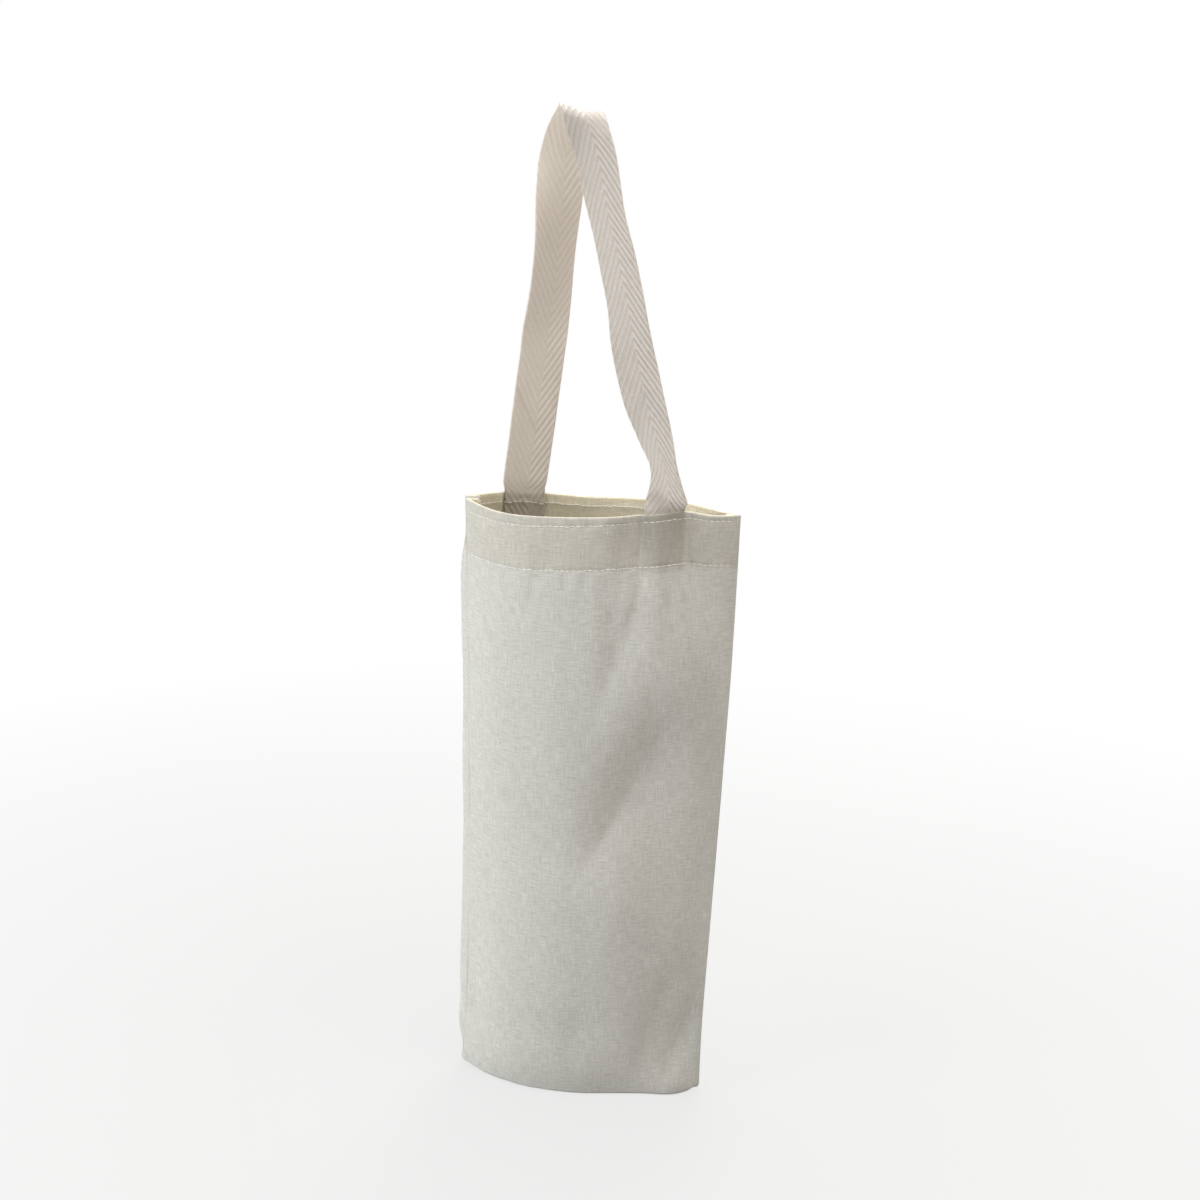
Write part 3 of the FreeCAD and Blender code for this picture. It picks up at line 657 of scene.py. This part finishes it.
def sheet_places(points, below=False):
    """Where a grid of cloth lies on its flat cut: lengths along its middle row and its middle column."""
    across = run_lengths(points[-1 if below else len(points) // 2])
    along = run_lengths(points[:, points.shape[1] // 2])
    across = across - across[-1] / 2
    if below:
        along = along - along[-1]
    return np.stack(np.broadcast_arrays(across[None, :], along[:, None]), -1)


def painted_light_shares(side, points, rows):
    """Shares of painted light and shade for each point: painted shade in the hem's double cloth, painted
    light on its turned layer, and painted shadow over a sewn strap end.
    """
    height, layer, _ = rows
    size = sizes()
    depth = RIM - height
    beside = ease((size.strap_width / 2 + 1.5 - foot_distance(side, points)) / 4)
    above = ease((size.tuck - depth) / 5) * (1 - 0.4 * depth / HEM_LINE)
    shares = {
        "double_cloth": ease((HEM_LINE + 1 - depth) / 1.2) * (1 - layer),
        "turned_hem": layer,
        "strap_behind": beside * above * (1 - layer),
    }
    return {name: np.broadcast_to(values, points.shape[:2]) for name, values in shares.items()}


def make_panel(side):
    """One panel as a single sheet: bottom allowance, base, wall, rim fold and turned hem, with side
    allowances."""
    size = sizes()
    share = np.linspace(0, 1, ACROSS_STEPS + 1)[None, :]
    rows = panel_rows(size)
    height, layer, lift = rows
    inset = share + layer * FACING_INSET * (1 - 2 * share)
    body = wall(side, inset, height)
    body = body - outward(wall, side, inset, height) * (layer * size.layer_step)[..., None]
    body[..., 2] += lift
    left = allowance_columns(size, side, "left", rows, body[:, 0])
    right = allowance_columns(size, side, "right", rows, body[:, -1])
    upper = np.concatenate([left, body, right], axis=1)
    lower = base_rows(size, side, body[0], share[0])
    upper_index = np.arange(upper[..., 0].size).reshape(upper.shape[:2])
    lower_index = upper_index.size + np.arange(lower[..., 0].size).reshape(lower.shape[:2])
    meeting = upper_index[:1, ALLOWANCE_STEPS : ALLOWANCE_STEPS + ACROSS_STEPS + 1]
    faces = np.concatenate([grid_faces(upper_index), grid_faces(np.concatenate([lower_index, meeting]))])
    if side == "back":
        faces = faces[:, ::-1]
    points = np.concatenate([upper.reshape(-1, 3), lower.reshape(-1, 3)])
    places = (sheet_places(upper), sheet_places(lower, below=True))
    uv = np.concatenate([part.reshape(-1, 2) for part in places])
    piece = new_piece(f"{side}_calico", points, faces, uv, sharp=50)
    plain = np.zeros(lower_index.size)
    # Painted shade, painted shadow and painted light, kept as point attributes for the calico's colour
    for name, shares in painted_light_shares(side, upper, rows).items():
        note_layer(piece, name, np.concatenate([shares.ravel(), plain]))
    thicken = piece.modifiers.new("cloth", "SOLIDIFY")
    thicken.thickness = size.cloth * MM
    thicken.offset = 0
    piece.data.materials.append(shared_material("calico_weave", calico_surface))
    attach(piece, "bag")
    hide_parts(f"{side}_panel")


def strands(line, first, second, radius, sides):
    """Round strands along lines, whose rings open along two ways: points, and their numbers ring by ring."""
    turn = np.linspace(0, 2 * math.pi, sides, endpoint=False)[:, None]
    ring = np.cos(turn) * first[..., None, :] + np.sin(turn) * second[..., None, :]
    points = line[..., None, :] + ring * radius
    index = np.arange(points[..., 0].size).reshape(points.shape[:-1])
    return points.reshape(-1, 3), np.concatenate([index, index[..., :1]], -1)


def stitch_run(middle, along, away, sink):
    """Stitches as short round strands: rings carried along each stitch, whose ends dip into the cloth.
    The middle line is m + l/2 t a - s t^4 n for t from -1 to 1, and its radius is r (1 - t^6 / 2)."""
    size = sizes()
    t = np.linspace(-1, 1, STITCH_RINGS)[None, :, None]
    aside = np.cross(along, away)[:, None]
    line = middle[:, None] + along[:, None] * t * (size.stitch_length / 2) - away[:, None] * sink * t**4
    girth = size.thread_radius * (1 - t**6 / 2)
    points, index = strands(line, away[:, None], aside, girth[..., None], STITCH_SIDES)
    return points, grid_faces(index.swapaxes(1, 2))


def hem_line(line, side, inside):
    """One line of hem stitching on one face of a panel, with a little hand to each stitch."""
    size = sizes()
    width = wall_width(side, RIM - 10)
    count = int((width - HEM_FREE) // size.stitch_pitch)
    uneven, tip_out, tip_up = STITCH_HAND
    share = (np.arange(count) + 0.5) * size.stitch_pitch / width
    share = share + (1 - share[0] - share[-1]) / 2
    draw = np.random.default_rng(len(line) + 5 * len(side) + 40 * inside)
    height = RIM - stitch_drop(line, side, share) + draw.normal(0, uneven, count)
    middle = wall(side, share, height)
    along = unit(wall(side, share + SHARE_STEP, height) - wall(side, share - SHARE_STEP, height))
    away = outward(wall, side, share, height)
    if inside:
        over = foot_distance(side, middle) < size.strap_width / 2
        depth = size.layer_step + size.cloth / 2 + over * (size.strap_thick + LAYER_PLAY)
        middle = middle - away * (depth + size.thread_radius * 0.5)[:, None]
        away = -away
    else:
        middle = middle + away * (size.cloth / 2 + size.thread_radius * 0.55)
    along = along + away * draw.normal(0, tip_out, (count, 1))
    along = unit(along + UP * draw.normal(0, tip_up, (count, 1)))
    return stitch_run(middle, along, away, HEM_SINK)


def seam_line(seam, face):
    """Stitches of a seam on one face of its allowances."""
    size = sizes()
    way = (1.0, 0.0, 0.0) if seam == "bottom" else UP
    line, inside, behind = seam_ways(seam, np.arange(*SEAM_RUNS[seam], size.stitch_pitch))
    away = behind * (-FACING[face] if seam == "right" else FACING[face])
    middle = line + inside * size.seam_inset + away * (size.cloth + LAYER_PLAY)
    return stitch_run(middle, np.broadcast_to(way, middle.shape), away, SEAM_SINK)


def overlock_coil(seam):
    """Overlock thread as a flattened helix round the raw edges of a seam's allowances: it goes round once for
    each loop, deep over both faces and clear of the cloth, while it runs along the edge."""
    size = sizes()
    edge, inside, behind = seam_ways(seam, np.linspace(*OVERLOCK_RUNS[seam]))
    edge = edge + inside * size.allowance
    inward, aside = -inside[len(edge) // 2], behind[len(edge) // 2]
    loops = int(run_lengths(edge)[-1] / size.overlock_pitch)
    travel = np.linspace(0, 1, loops * OVERLOCK_TURN_STEPS)
    turn = travel * loops * 2 * math.pi
    place = smooth_through(np.linspace(0, 1, len(edge)), edge, travel)
    depth = OVERLOCK_DEPTH * (0.5 - 0.5 * np.sign(np.cos(turn)) * np.abs(np.cos(turn)) ** 0.7) - OVERLOCK_PLAY
    swell = (size.cloth + OVERLOCK_PLAY) * np.sign(np.sin(turn)) * np.abs(np.sin(turn)) ** 0.5
    line = place + inward * depth[:, None] + aside * swell[:, None]
    way = unit(np.gradient(line, axis=0))
    first = unit(np.cross(way, unit(np.cross(inward, aside))))
    points, index = strands(line, first, np.cross(way, first), size.thread_radius, OVERLOCK_SIDES)
    return points, grid_faces(index)


def finish_thread(name, parts, node):
    """Sets of points and quads of threads as one piece that rides on the bag and stands for a CAD node."""
    starts = np.cumsum([0] + [len(points) for points, _ in parts])
    points = np.concatenate([points for points, _ in parts])
    faces = np.concatenate([faces + start for (_, faces), start in zip(parts, starts)])
    piece = new_piece(name, points, faces, sharp=80)
    piece.data.materials.append(shared_material("spun_thread", thread_surface))
    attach(piece, "bag")
    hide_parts(node)


def handle_path():
    """The handle's middle line and its width's direction, sampled closely, with the length run from the
    front."""
    stations = np.array(HANDLE_STATIONS, float)
    places = STRAP_MIDDLE + stations[:, :1] * SPAN_WAY + stations[:, 1:2] * BACK_WAY + stations[:, 2:3] * UP
    knots = run_lengths(places)
    at = np.linspace(0, knots[-1], PATH_STEPS)
    middle = smooth_through(knots, places, at)
    turn, tilt = np.radians(smooth_through(knots, stations[:, 3:], at)).T
    wide = np.stack([np.cos(tilt) * np.cos(turn), np.cos(tilt) * np.sin(turn), np.sin(tilt)], -1)
    return run_lengths(middle), middle, wide


def along_path(run, values, at):
    """Sampled vectors read at lengths along the path."""
    return np.stack([np.interp(at, run, values[:, axis]) for axis in range(3)], -1)


def sewn_place(side, length, wide):
    """The middle of a sewn end: against the turned hem inside its panel, at a length above the end's cut."""
    size = sizes()
    height = np.minimum(RIM - size.tuck + length, RIM)
    width = wall_width(side, RIM)
    share = FOOT_PLACES[side] + wide / width
    across = plain_wall(side, share, RIM)[..., 0]
    for _ in range(4):
        share = share + (across - plain_wall(side, share, height)[..., 0]) / width
    depth = size.layer_step + size.cloth / 2 + size.strap_thick / 2 + LAYER_PLAY
    place = wall(side, share, height) - outward(wall, side, share, height) * depth
    place[..., 2] += np.maximum(length - size.tuck, 0)
    return place


def handle_surface(length, wide):
    """The middle of the webbing at a length from the front end and a place across: the free path with its
    width, a little sway and flutter and a dip at the top fold, eased into the sewn ends below the rim."""
    run, middle, across = handle_path()
    tuck = sizes().tuck
    across = along_path(run, across, length)
    sway = 1 + SWAY[0] * ripples(length, 0 * length, *SWAY[1:])
    flutter = FLUTTER[0] * ripples(length, wide, *FLUTTER[1:])
    normal = unit(np.cross(across, along_path(run, np.gradient(middle, axis=0), length)))
    place = along_path(run, middle, length) + across * (wide * sway)[..., None] + normal * flutter[..., None]
    crown = run[np.argmax(middle[:, 2])]
    place[..., 2] -= mound(wide, length, (CROWN_PLACE, crown), CROWN_REACH, CROWN_DIP)
    for side, above in (("front", length), ("back", run[-1] - length)):
        free = ease((above - tuck + 0.5) / FOOT_EASE)
        near = above < tuck + FOOT_EASE
        if near.any():
            sewn = sewn_place(side, above[near], wide[near])
            place[near] += (sewn - place[near]) * (1 - free[near])[:, None]
    return place


def rib_relief(phase):
    """Relief of a rib: a rounded ridge for each turn of the phase, with a narrow valley between ribs."""
    return (0.5 - 0.5 * np.cos(2 * math.pi * phase)) ** 0.7 - 0.55


def handle_stretch(name, first, last, columns, sewn=None):
    """A stretch of webbing whose rows follow the ribs: a row's length along the webbing is r - k |w - w0|,
    so the ribs meet in chevrons on the spine. Rows straighten towards the end that is sewn."""
    size = sizes()
    half = size.strap_width / 2
    crowd = math.pi / 2 * EDGE_CROWD
    wide = half * np.sin(np.linspace(-1, 1, columns) * crowd) / math.sin(crowd)
    rows = np.linspace(first, last, int((last - first) / size.rib_pitch * RIB_ROWS))[:, None]
    lean = np.full_like(rows, size.rib_slope)
    if sewn:
        from_end = rows - first if sewn == "front" else last - rows
        lean = lean * np.clip(from_end / STRAIGHT_END, 0, 1)
    off = np.abs(wide - size.spine)[None, :]
    length = rows - lean * off
    phase = (length + size.rib_slope * off) / size.rib_pitch
    width = np.broadcast_to(wide, length.shape)
    middle = handle_surface(length, width)
    normal = unit(np.cross(np.gradient(middle, axis=1), np.gradient(middle, axis=0)))
    edge = 1 - np.clip((np.abs(width) - (half - SELVEDGE)) / SELVEDGE, 0, 1) ** 2
    body = size.strap_thick / 2 * (0.35 + 0.65 * np.sqrt(edge))
    relief = size.rib_height * edge
    outer = middle + normal * (body + relief * rib_relief(phase))[..., None]
    inner = middle - normal * (body + INNER_RELIEF * relief * rib_relief(phase + 0.5))[..., None]
    return close_ribbon(name, outer, inner, np.stack([width, length], -1).reshape(-1, 2))


def close_ribbon(name, outer, inner, places):
    """Outer and inner grids as one closed piece: rings across the webbing and a strip over each end. Both
    grids have the same places on the flat tape."""
    count = outer[..., 0].size
    index = np.arange(count).reshape(outer.shape[:2])
    under = index + count
    rings = np.concatenate([index, under[:, ::-1], index[:, :1]], 1)
    start, end = np.stack([under[0], index[0]]), np.stack([index[-1], under[-1]])
    faces = np.concatenate([grid_faces(part) for part in (rings, start, end)])
    points = np.concatenate([outer.reshape(-1, 3), inner.reshape(-1, 3)])
    piece = new_piece(name, points, faces, np.concatenate([places, places]), sharp=70)
    note_layer(piece, "tape_back", np.repeat((0.0, 1.0), count))
    piece.data.materials.append(shared_material("herringbone_tape", webbing_surface))
    return piece


def add_node(tree, kind, inputs=None, **settings):
    """A shader node with its settings. Its inputs, by name or number, get a link or a value."""
    node = tree.nodes.new(kind)
    for key, value in settings.items():
        setattr(node, key, value)
    for key, value in (inputs or {}).items():
        if isinstance(value, bpy.types.NodeSocket):
            tree.links.new(value, node.inputs[key])
        else:
            node.inputs[key].default_value = value
    return node


def shared_material(name, surface):
    """A material by name, made on first use from a function that lays out its surface."""
    material = bpy.data.materials.get(name)
    if material is None:
        material = bpy.data.materials.new(name)
        material.use_nodes = True
        tree = material.node_tree
        tree.nodes.clear()
        add_node(tree, "ShaderNodeOutputMaterial", {"Surface": surface(tree)})
    return material


def scaled_noise(tree, place, scale, detail=3.0, rough=0.55):
    """A noise texture over a place that is stretched by a scale along each axis."""
    stretch = add_node(tree, "ShaderNodeMapping", {"Vector": place, "Scale": scale}).outputs[0]
    inputs = {"Vector": stretch, "Scale": 1.0, "Detail": detail, "Roughness": rough}
    return add_node(tree, "ShaderNodeTexNoise", inputs).outputs["Fac"]


def ramp(tree, value, low, high, start=0.0, end=1.0):
    """A value spread from low..high to start..end, clamped."""
    inputs = {"Value": value, "From Min": low, "From Max": high, "To Min": start, "To Max": end}
    return add_node(tree, "ShaderNodeMapRange", inputs).outputs["Result"]


def maths(tree, operation, first, second=0.0):
    """A sum, product or other result of two values."""
    return add_node(tree, "ShaderNodeMath", {0: first, 1: second}, operation=operation).outputs[0]


def times(tree, first, second):
    """The product of two values."""
    return maths(tree, "MULTIPLY", first, second)


def plus(tree, first, second):
    """The sum of two values."""
    return maths(tree, "ADD", first, second)


def tint(colour, factor):
    """A colour with its parts scaled, opaque."""
    return (*(np.array(colour) * factor).tolist(), 1.0)


def blend_colour(tree, share, under, over, kind="MIX"):
    """A colour laid over another by a share."""
    inputs = {0: share, 6: under, 7: over}
    return add_node(tree, "ShaderNodeMix", inputs, data_type="RGBA", blend_type=kind).outputs[2]


def layered(tree, colour, first, layers):
    """A colour scaled by a first factor, with other scalings of it laid over by their shares in turn."""
    base = tint(colour, first)
    for share, factor in layers:
        base = blend_colour(tree, share, base, tint(colour, factor))
    return base


def bump(tree, height, strength, distance):
    """A normal tipped by the slopes of a height."""
    inputs = {"Strength": strength, "Distance": distance, "Height": height}
    return add_node(tree, "ShaderNodeBump", inputs).outputs[0]


def matt_face(tree, base, rough, gloss, normal):
    """A rough surface with a little gloss."""
    inputs = {"Base Color": base, "Roughness": rough, "Specular IOR Level": gloss, "Normal": normal}
    return add_node(tree, "ShaderNodeBsdfPrincipled", inputs).outputs[0]


def mixed(tree, share, first, second):
    """Two surfaces mixed by the second one's share."""
    return add_node(tree, "ShaderNodeMixShader", {0: share, 1: first, 2: second}).outputs[0]


def note_value(tree, name):
    """A point attribute's value."""
    return add_node(tree, "ShaderNodeAttribute", attribute_name=name).outputs["Fac"]


def cloth_place(tree):
    """A place on the flat cut, in metres, and its two parts across and along."""
    place = add_node(tree, "ShaderNodeUVMap", uv_map="cloth").outputs["UV"]
    axes = add_node(tree, "ShaderNodeSeparateXYZ", {0: place}).outputs
    return place, axes[0], axes[1]


def calico_surface(tree):
    """Unbleached plain weave: uneven yarns both ways with thick slubs, a soft mottle, seed specks, painted
    shade where the hem doubles the cloth, painted shadow where a strap end lies behind, painted light on the
    turned hem, and light let through."""
    colours = bpy.context.scene.carrier_colours
    place, across, along = cloth_place(tree)
    weft = scaled_noise(tree, place, (150, 1200, 1))
    warp = scaled_noise(tree, place, (1250, 110, 1))
    grain = scaled_noise(tree, place, (1300, 1300, 1), rough=0.75)
    mottle = scaled_noise(tree, place, (38, 26, 1), 4.0)
    slubs = plus(tree, ramp(tree, weft, 0.60, 0.74), ramp(tree, warp, 0.60, 0.74))
    layers = (
        (ramp(tree, mottle, 0.3, 0.7), 1.02),
        (ramp(tree, weft, 0.54, 0.28, 0.0, 0.95), (0.74, 0.735, 0.715)),
        (ramp(tree, warp, 0.54, 0.28, 0.0, 0.85), (0.76, 0.755, 0.735)),
        (ramp(tree, grain, 0.52, 0.30, 0.0, 0.9), 0.74),
        (times(tree, slubs, 0.6), 1.16),
    )
    base = layered(tree, colours.calico, 0.975, layers)
    seeds = add_node(tree, "ShaderNodeTexVoronoi", {"Vector": place, "Scale": 95.0, "Randomness": 1.0})
    rare = add_node(tree, "ShaderNodeSeparateColor", {0: seeds.outputs["Color"]}).outputs[0]
    near = ramp(tree, seeds.outputs["Distance"], 0.05, 0.025)
    speck = times(tree, near, ramp(tree, rare, 0.80, 0.82))
    base = blend_colour(tree, times(tree, speck, 0.75), base, SEED_COLOUR)
    # Painted shade on the double cloth, painted shadow behind a strap end and painted light on the turned hem
    for name, shade in PAINTED_LIGHT_TINTS.items():
        base = blend_colour(tree, note_value(tree, name), base, (*shade, 1.0), "MULTIPLY")
    yarn = math.pi / YARN_PITCH
    warp_wave, weft_wave = (maths(tree, "SINE", times(tree, axis, yarn)) for axis in (across, along))
    weave = times(tree, warp_wave, weft_wave)
    yarns = plus(tree, weft, warp)
    height = plus(tree, times(tree, weave, 0.15), times(tree, yarns, 1.3))
    height = plus(tree, height, times(tree, grain, 0.4))
    normal = bump(tree, height, 0.12, 0.00012)
    let_through = layered(tree, colours.calico_through, 1.0, [(ramp(tree, grain, 0.3, 0.7), 0.85)])
    through = add_node(tree, "ShaderNodeBsdfTranslucent", {"Color": let_through, "Normal": normal}).outputs[0]
    return mixed(tree, 0.20, matt_face(tree, base, 0.92, 0.15, normal), through)


def webbing_surface(tree):
    """Natural cotton tape: painted shade in the valleys between ribs, which run r + k |w - w0| along the
    tape, soft yarn streaks, a light mottle, stray fibres, and painted warm light on the inner face."""
    colours = bpy.context.scene.carrier_colours
    size = bpy.context.scene.carrier_sizes
    place, across, along = cloth_place(tree)
    fibres = scaled_noise(tree, place, (2600, 2600, 1), rough=0.7)
    floats = scaled_noise(tree, place, (1500, 420, 1), 2.0)
    mottle = scaled_noise(tree, place, (140, 60, 1))
    behind = note_value(tree, "tape_back")
    off = maths(tree, "ABSOLUTE", maths(tree, "SUBTRACT", across, size.spine))
    run = plus(tree, along, times(tree, off, size.rib_slope))
    run = plus(tree, run, times(tree, floats, RIB_WANDER))
    run = plus(tree, run, times(tree, behind, size.rib_pitch / 2))
    wave = maths(tree, "COSINE", times(tree, run, 2 * math.pi / size.rib_pitch))
    # Painted shade in the valleys between ribs, weaker on the inner face
    valley_shade = times(tree, ramp(tree, wave, -0.5, 1.0), ramp(tree, behind, 0.0, 1.0, 1.0, 0.34))
    layers = (
        (ramp(tree, mottle, 0.3, 0.7), 1.04),
        (ramp(tree, fibres, 0.35, 0.7), 0.92),
        (ramp(tree, floats, 0.62, 0.3, 0.0, 0.5), 0.86),
        (ramp(tree, floats, 0.58, 0.75, 0.0, 0.6), 1.1),
        (valley_shade, (0.61, 0.58, 0.55)),
    )
    base = layered(tree, colours.webbing, 0.96, layers)
    # Painted warm light: the webbing's inner face lighter and warmer than its outer face
    base = blend_colour(tree, behind, base, TAPE_BACK_LIGHT_TINT, "MULTIPLY")
    face = matt_face(tree, base, 0.9, 0.15, bump(tree, floats, 0.6, 0.0002))
    through = add_node(tree, "ShaderNodeBsdfTranslucent", {"Color": tint(colours.webbing, 1.1)}).outputs[0]
    return mixed(tree, 0.36, face, through)


def thread_surface(tree):
    """Spun sewing thread: fine uneven fibres."""
    colours = bpy.context.scene.carrier_colours
    place = add_node(tree, "ShaderNodeTexCoord").outputs["Object"]
    fibres = scaled_noise(tree, place, (3000, 3000, 3000), 2.0, 0.6)
    base = layered(tree, colours.thread, 0.92, [(fibres, 1.06)])
    return matt_face(tree, base, 0.75, 0.25, bump(tree, fibres, 0.4, 0.0001))


def floor_surface(tree):
    """Pale studio floor, which the camera sees as nearly white with the carrier's soft shadow."""
    colours = bpy.context.scene.carrier_colours
    matt = add_node(tree, "ShaderNodeBsdfDiffuse", {"Color": tint(colours.floor, 1.0)}).outputs[0]
    glow = add_node(tree, "ShaderNodeEmission", {"Color": WHITE, "Strength": 1.0}).outputs[0]
    place = add_node(tree, "ShaderNodeTexCoord").outputs["Object"]
    away = add_node(tree, "ShaderNodeVectorMath", {0: place}, operation="LENGTH").outputs["Value"]
    pale = mixed(tree, ramp(tree, away, 0.2, 0.9, 0.72, 1.0), matt, glow)
    return mixed(tree, seen_directly(tree), matt, pale)


def seen_directly(tree):
    """1 for rays from the camera, from gloss and through glass, and 0 for the rest."""
    path = add_node(tree, "ShaderNodeLightPath")
    gloss = maths(tree, "MAXIMUM", path.outputs["Is Camera Ray"], path.outputs["Is Glossy Ray"])
    return maths(tree, "MAXIMUM", gloss, path.outputs["Is Transmission Ray"])


def place_aimed(name, data, place, target, roll=0.0):
    """A camera or lamp put at a place to look at a target, level but for its roll."""
    back = unit(np.asarray(place, float) - np.asarray(target, float))
    right = unit(np.cross(UP, back))
    top = np.cross(back, right)
    turned = math.cos(roll) * right + math.sin(roll) * top
    upright = -math.sin(roll) * right + math.cos(roll) * top
    matrix = np.eye(4)
    matrix[:3] = np.stack([turned, upright, back, place], 1)
    thing = bpy.data.objects.new(name, data)
    bpy.context.scene.collection.objects.link(thing)
    thing.matrix_world = Matrix(matrix.tolist())
    return thing


class CARRIER_OT_panels(bpy.types.Operator):
    """Makes the front and back calico panels."""

    bl_idname = "carrier.panels"
    bl_label = "Calico panels"

    def execute(self, context):
        for side in SIDES:
            make_panel(side)
        return {"FINISHED"}


class CARRIER_OT_hem_stitches(bpy.types.Operator):
    """Makes the two lines of stitching round the hem, outside and inside."""

    bl_idname = "carrier.hem_stitches"
    bl_label = "Hem stitching"

    def execute(self, context):
        for line in STITCH_DROPS:
            for thread, inside in (("needle", False), ("bobbin", True)):
                parts = [hem_line(line, side, inside) for side in SIDES]
                name = f"{line}_stitch_{thread}"
                finish_thread(f"{name}_strands", parts, f"{name}_thread")
        return {"FINISHED"}


class CARRIER_OT_seams(bpy.types.Operator):
    """Makes the seam stitching and the overlock thread inside the sack."""

    bl_idname = "carrier.seams"
    bl_label = "Seam threads"

    def execute(self, context):
        for seam in SEAMS:
            parts = [seam_line(seam, face) for face in SIDES]
            start, end = ("bottom", "") if seam == "bottom" else ("side", f"_{seam}")
            finish_thread(f"{start}_seam_strands{end}", parts, f"{start}_seam_thread{end}")
            finish_thread(f"overlock_strands_{seam}", [overlock_coil(seam)], f"overlock_{seam}")
        return {"FINISHED"}


class CARRIER_OT_handle(bpy.types.Operator):
    """Makes the webbing handle in three stretches: each sewn end with its leg, and the loop over the top."""

    bl_idname = "carrier.handle"
    bl_label = "Webbing handle"

    def execute(self, context):
        size = sizes()
        run, middle, _ = handle_path()
        cut = (LEAN_HEIGHT + DROP_HEIGHT) / 2
        reach = size.rib_slope * (size.strap_width / 2 + size.spine)
        top = int(np.argmax(middle[:, 2]))
        cuts = (np.interp(cut, middle[:top, 2], run[:top]), np.interp(-cut, -middle[top:, 2], run[top:]))
        front_cut, back_cut = (round((at + reach / 2) / size.rib_pitch) * size.rib_pitch for at in cuts)
        for ends, first, last in (("front", 0.0, front_cut), ("back", back_cut, run[-1])):
            piece = handle_stretch(f"webbing_{ends}", first, last, LEG_COLUMNS, sewn=ends)
            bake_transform(piece)
            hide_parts(f"handle_end_{ends}", f"handle_leg_{ends}")
        upper = handle_stretch("webbing_loop", front_cut, back_cut, LOOP_COLUMNS)
        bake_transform(upper)
        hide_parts("handle_bow")
        return {"FINISHED"}


class CARRIER_OT_stage(bpy.types.Operator):
    """Makes the floor, the light and the camera."""

    bl_idname = "carrier.stage"
    bl_label = "Stage"

    def execute(self, context):
        scene = context.scene
        stage = scene.carrier_stage
        scene.view_settings.view_transform = "Standard"
        ways = np.linspace(-FLOOR_HALF, FLOOR_HALF, 3)
        grid = np.stack(np.meshgrid(ways, ways), -1)
        points = np.concatenate([grid, 0 * grid[..., :1] - FLOOR_DROP], -1)
        floor = new_piece("studio_floor", points, grid_faces(np.arange(9).reshape(3, 3)))
        floor.data.materials.append(shared_material("studio_floor", floor_surface))
        scene.world = bpy.data.worlds.new("studio")
        scene.world.use_nodes = True
        tree = scene.world.node_tree
        tree.nodes.clear()
        strength = ramp(tree, seen_directly(tree), 0.0, 1.0, stage.fill, 1.0)
        sky = add_node(tree, "ShaderNodeBackground", {"Color": WHITE, "Strength": strength})
        add_node(tree, "ShaderNodeOutputWorld", {"Surface": sky.outputs[0]})
        for name, (place, size, colour) in LAMPS.items():
            lamp = bpy.data.lights.new(f"{name}_lamp", "AREA")
            lamp.color = colour
            lamp.size = size
            lamp.energy = getattr(stage, name)
            place_aimed(f"{name}_lamp", lamp, place, LAMP_TARGET)
        level = math.cos(stage.pitch)
        back = (math.sin(stage.azimuth) * level, -math.cos(stage.azimuth) * level, math.sin(stage.pitch))
        lens = bpy.data.cameras.new("camera")
        lens.lens = stage.lens
        lens.sensor_width = 36.0
        aim = np.array(stage.aim)
        scene.camera = place_aimed("camera", lens, aim + np.array(back) * stage.distance, aim, stage.roll)
        return {"FINISHED"}


class CARRIER_PT_sidebar(bpy.types.Panel):
    """Lists what the carrier is made of."""

    bl_idname = "CARRIER_PT_sidebar"
    bl_label = "Bottle carrier"
    bl_space_type = "VIEW_3D"
    bl_region_type = "UI"
    bl_category = "Carrier"

    def draw(self, context):
        for operator in OPERATORS:
            self.layout.operator(operator.bl_idname)
        for name in SETTINGS:
            group = getattr(context.scene, name)
            box = self.layout.box()
            for key in setting_names(group):
                box.prop(group, key)


SETTINGS = {
    "carrier_sizes": CarrierSizes,
    "carrier_colours": CarrierColours,
    "carrier_stage": StageSettings,
}
OPERATORS = (
    CARRIER_OT_panels,
    CARRIER_OT_hem_stitches,
    CARRIER_OT_seams,
    CARRIER_OT_handle,
    CARRIER_OT_stage,
)


def register():
    """Adds the settings, operators and panel."""
    for name, group in SETTINGS.items():
        bpy.utils.register_class(group)
        setattr(bpy.types.Scene, name, PointerProperty(type=group))
    for operator in (*OPERATORS, CARRIER_PT_sidebar):
        bpy.utils.register_class(operator)


def unregister():
    """Takes the settings, operators and panel away."""
    for operator in (CARRIER_PT_sidebar, *reversed(OPERATORS)):
        bpy.utils.unregister_class(operator)
    for name, group in reversed(SETTINGS.items()):
        delattr(bpy.types.Scene, name)
        bpy.utils.unregister_class(group)


def main():
    register()
    bpy.ops.carrier.panels()
    bpy.ops.carrier.hem_stitches()
    bpy.ops.carrier.seams()
    bpy.ops.carrier.handle()
    bpy.ops.carrier.stage()


if __name__ == "__main__":
    main()
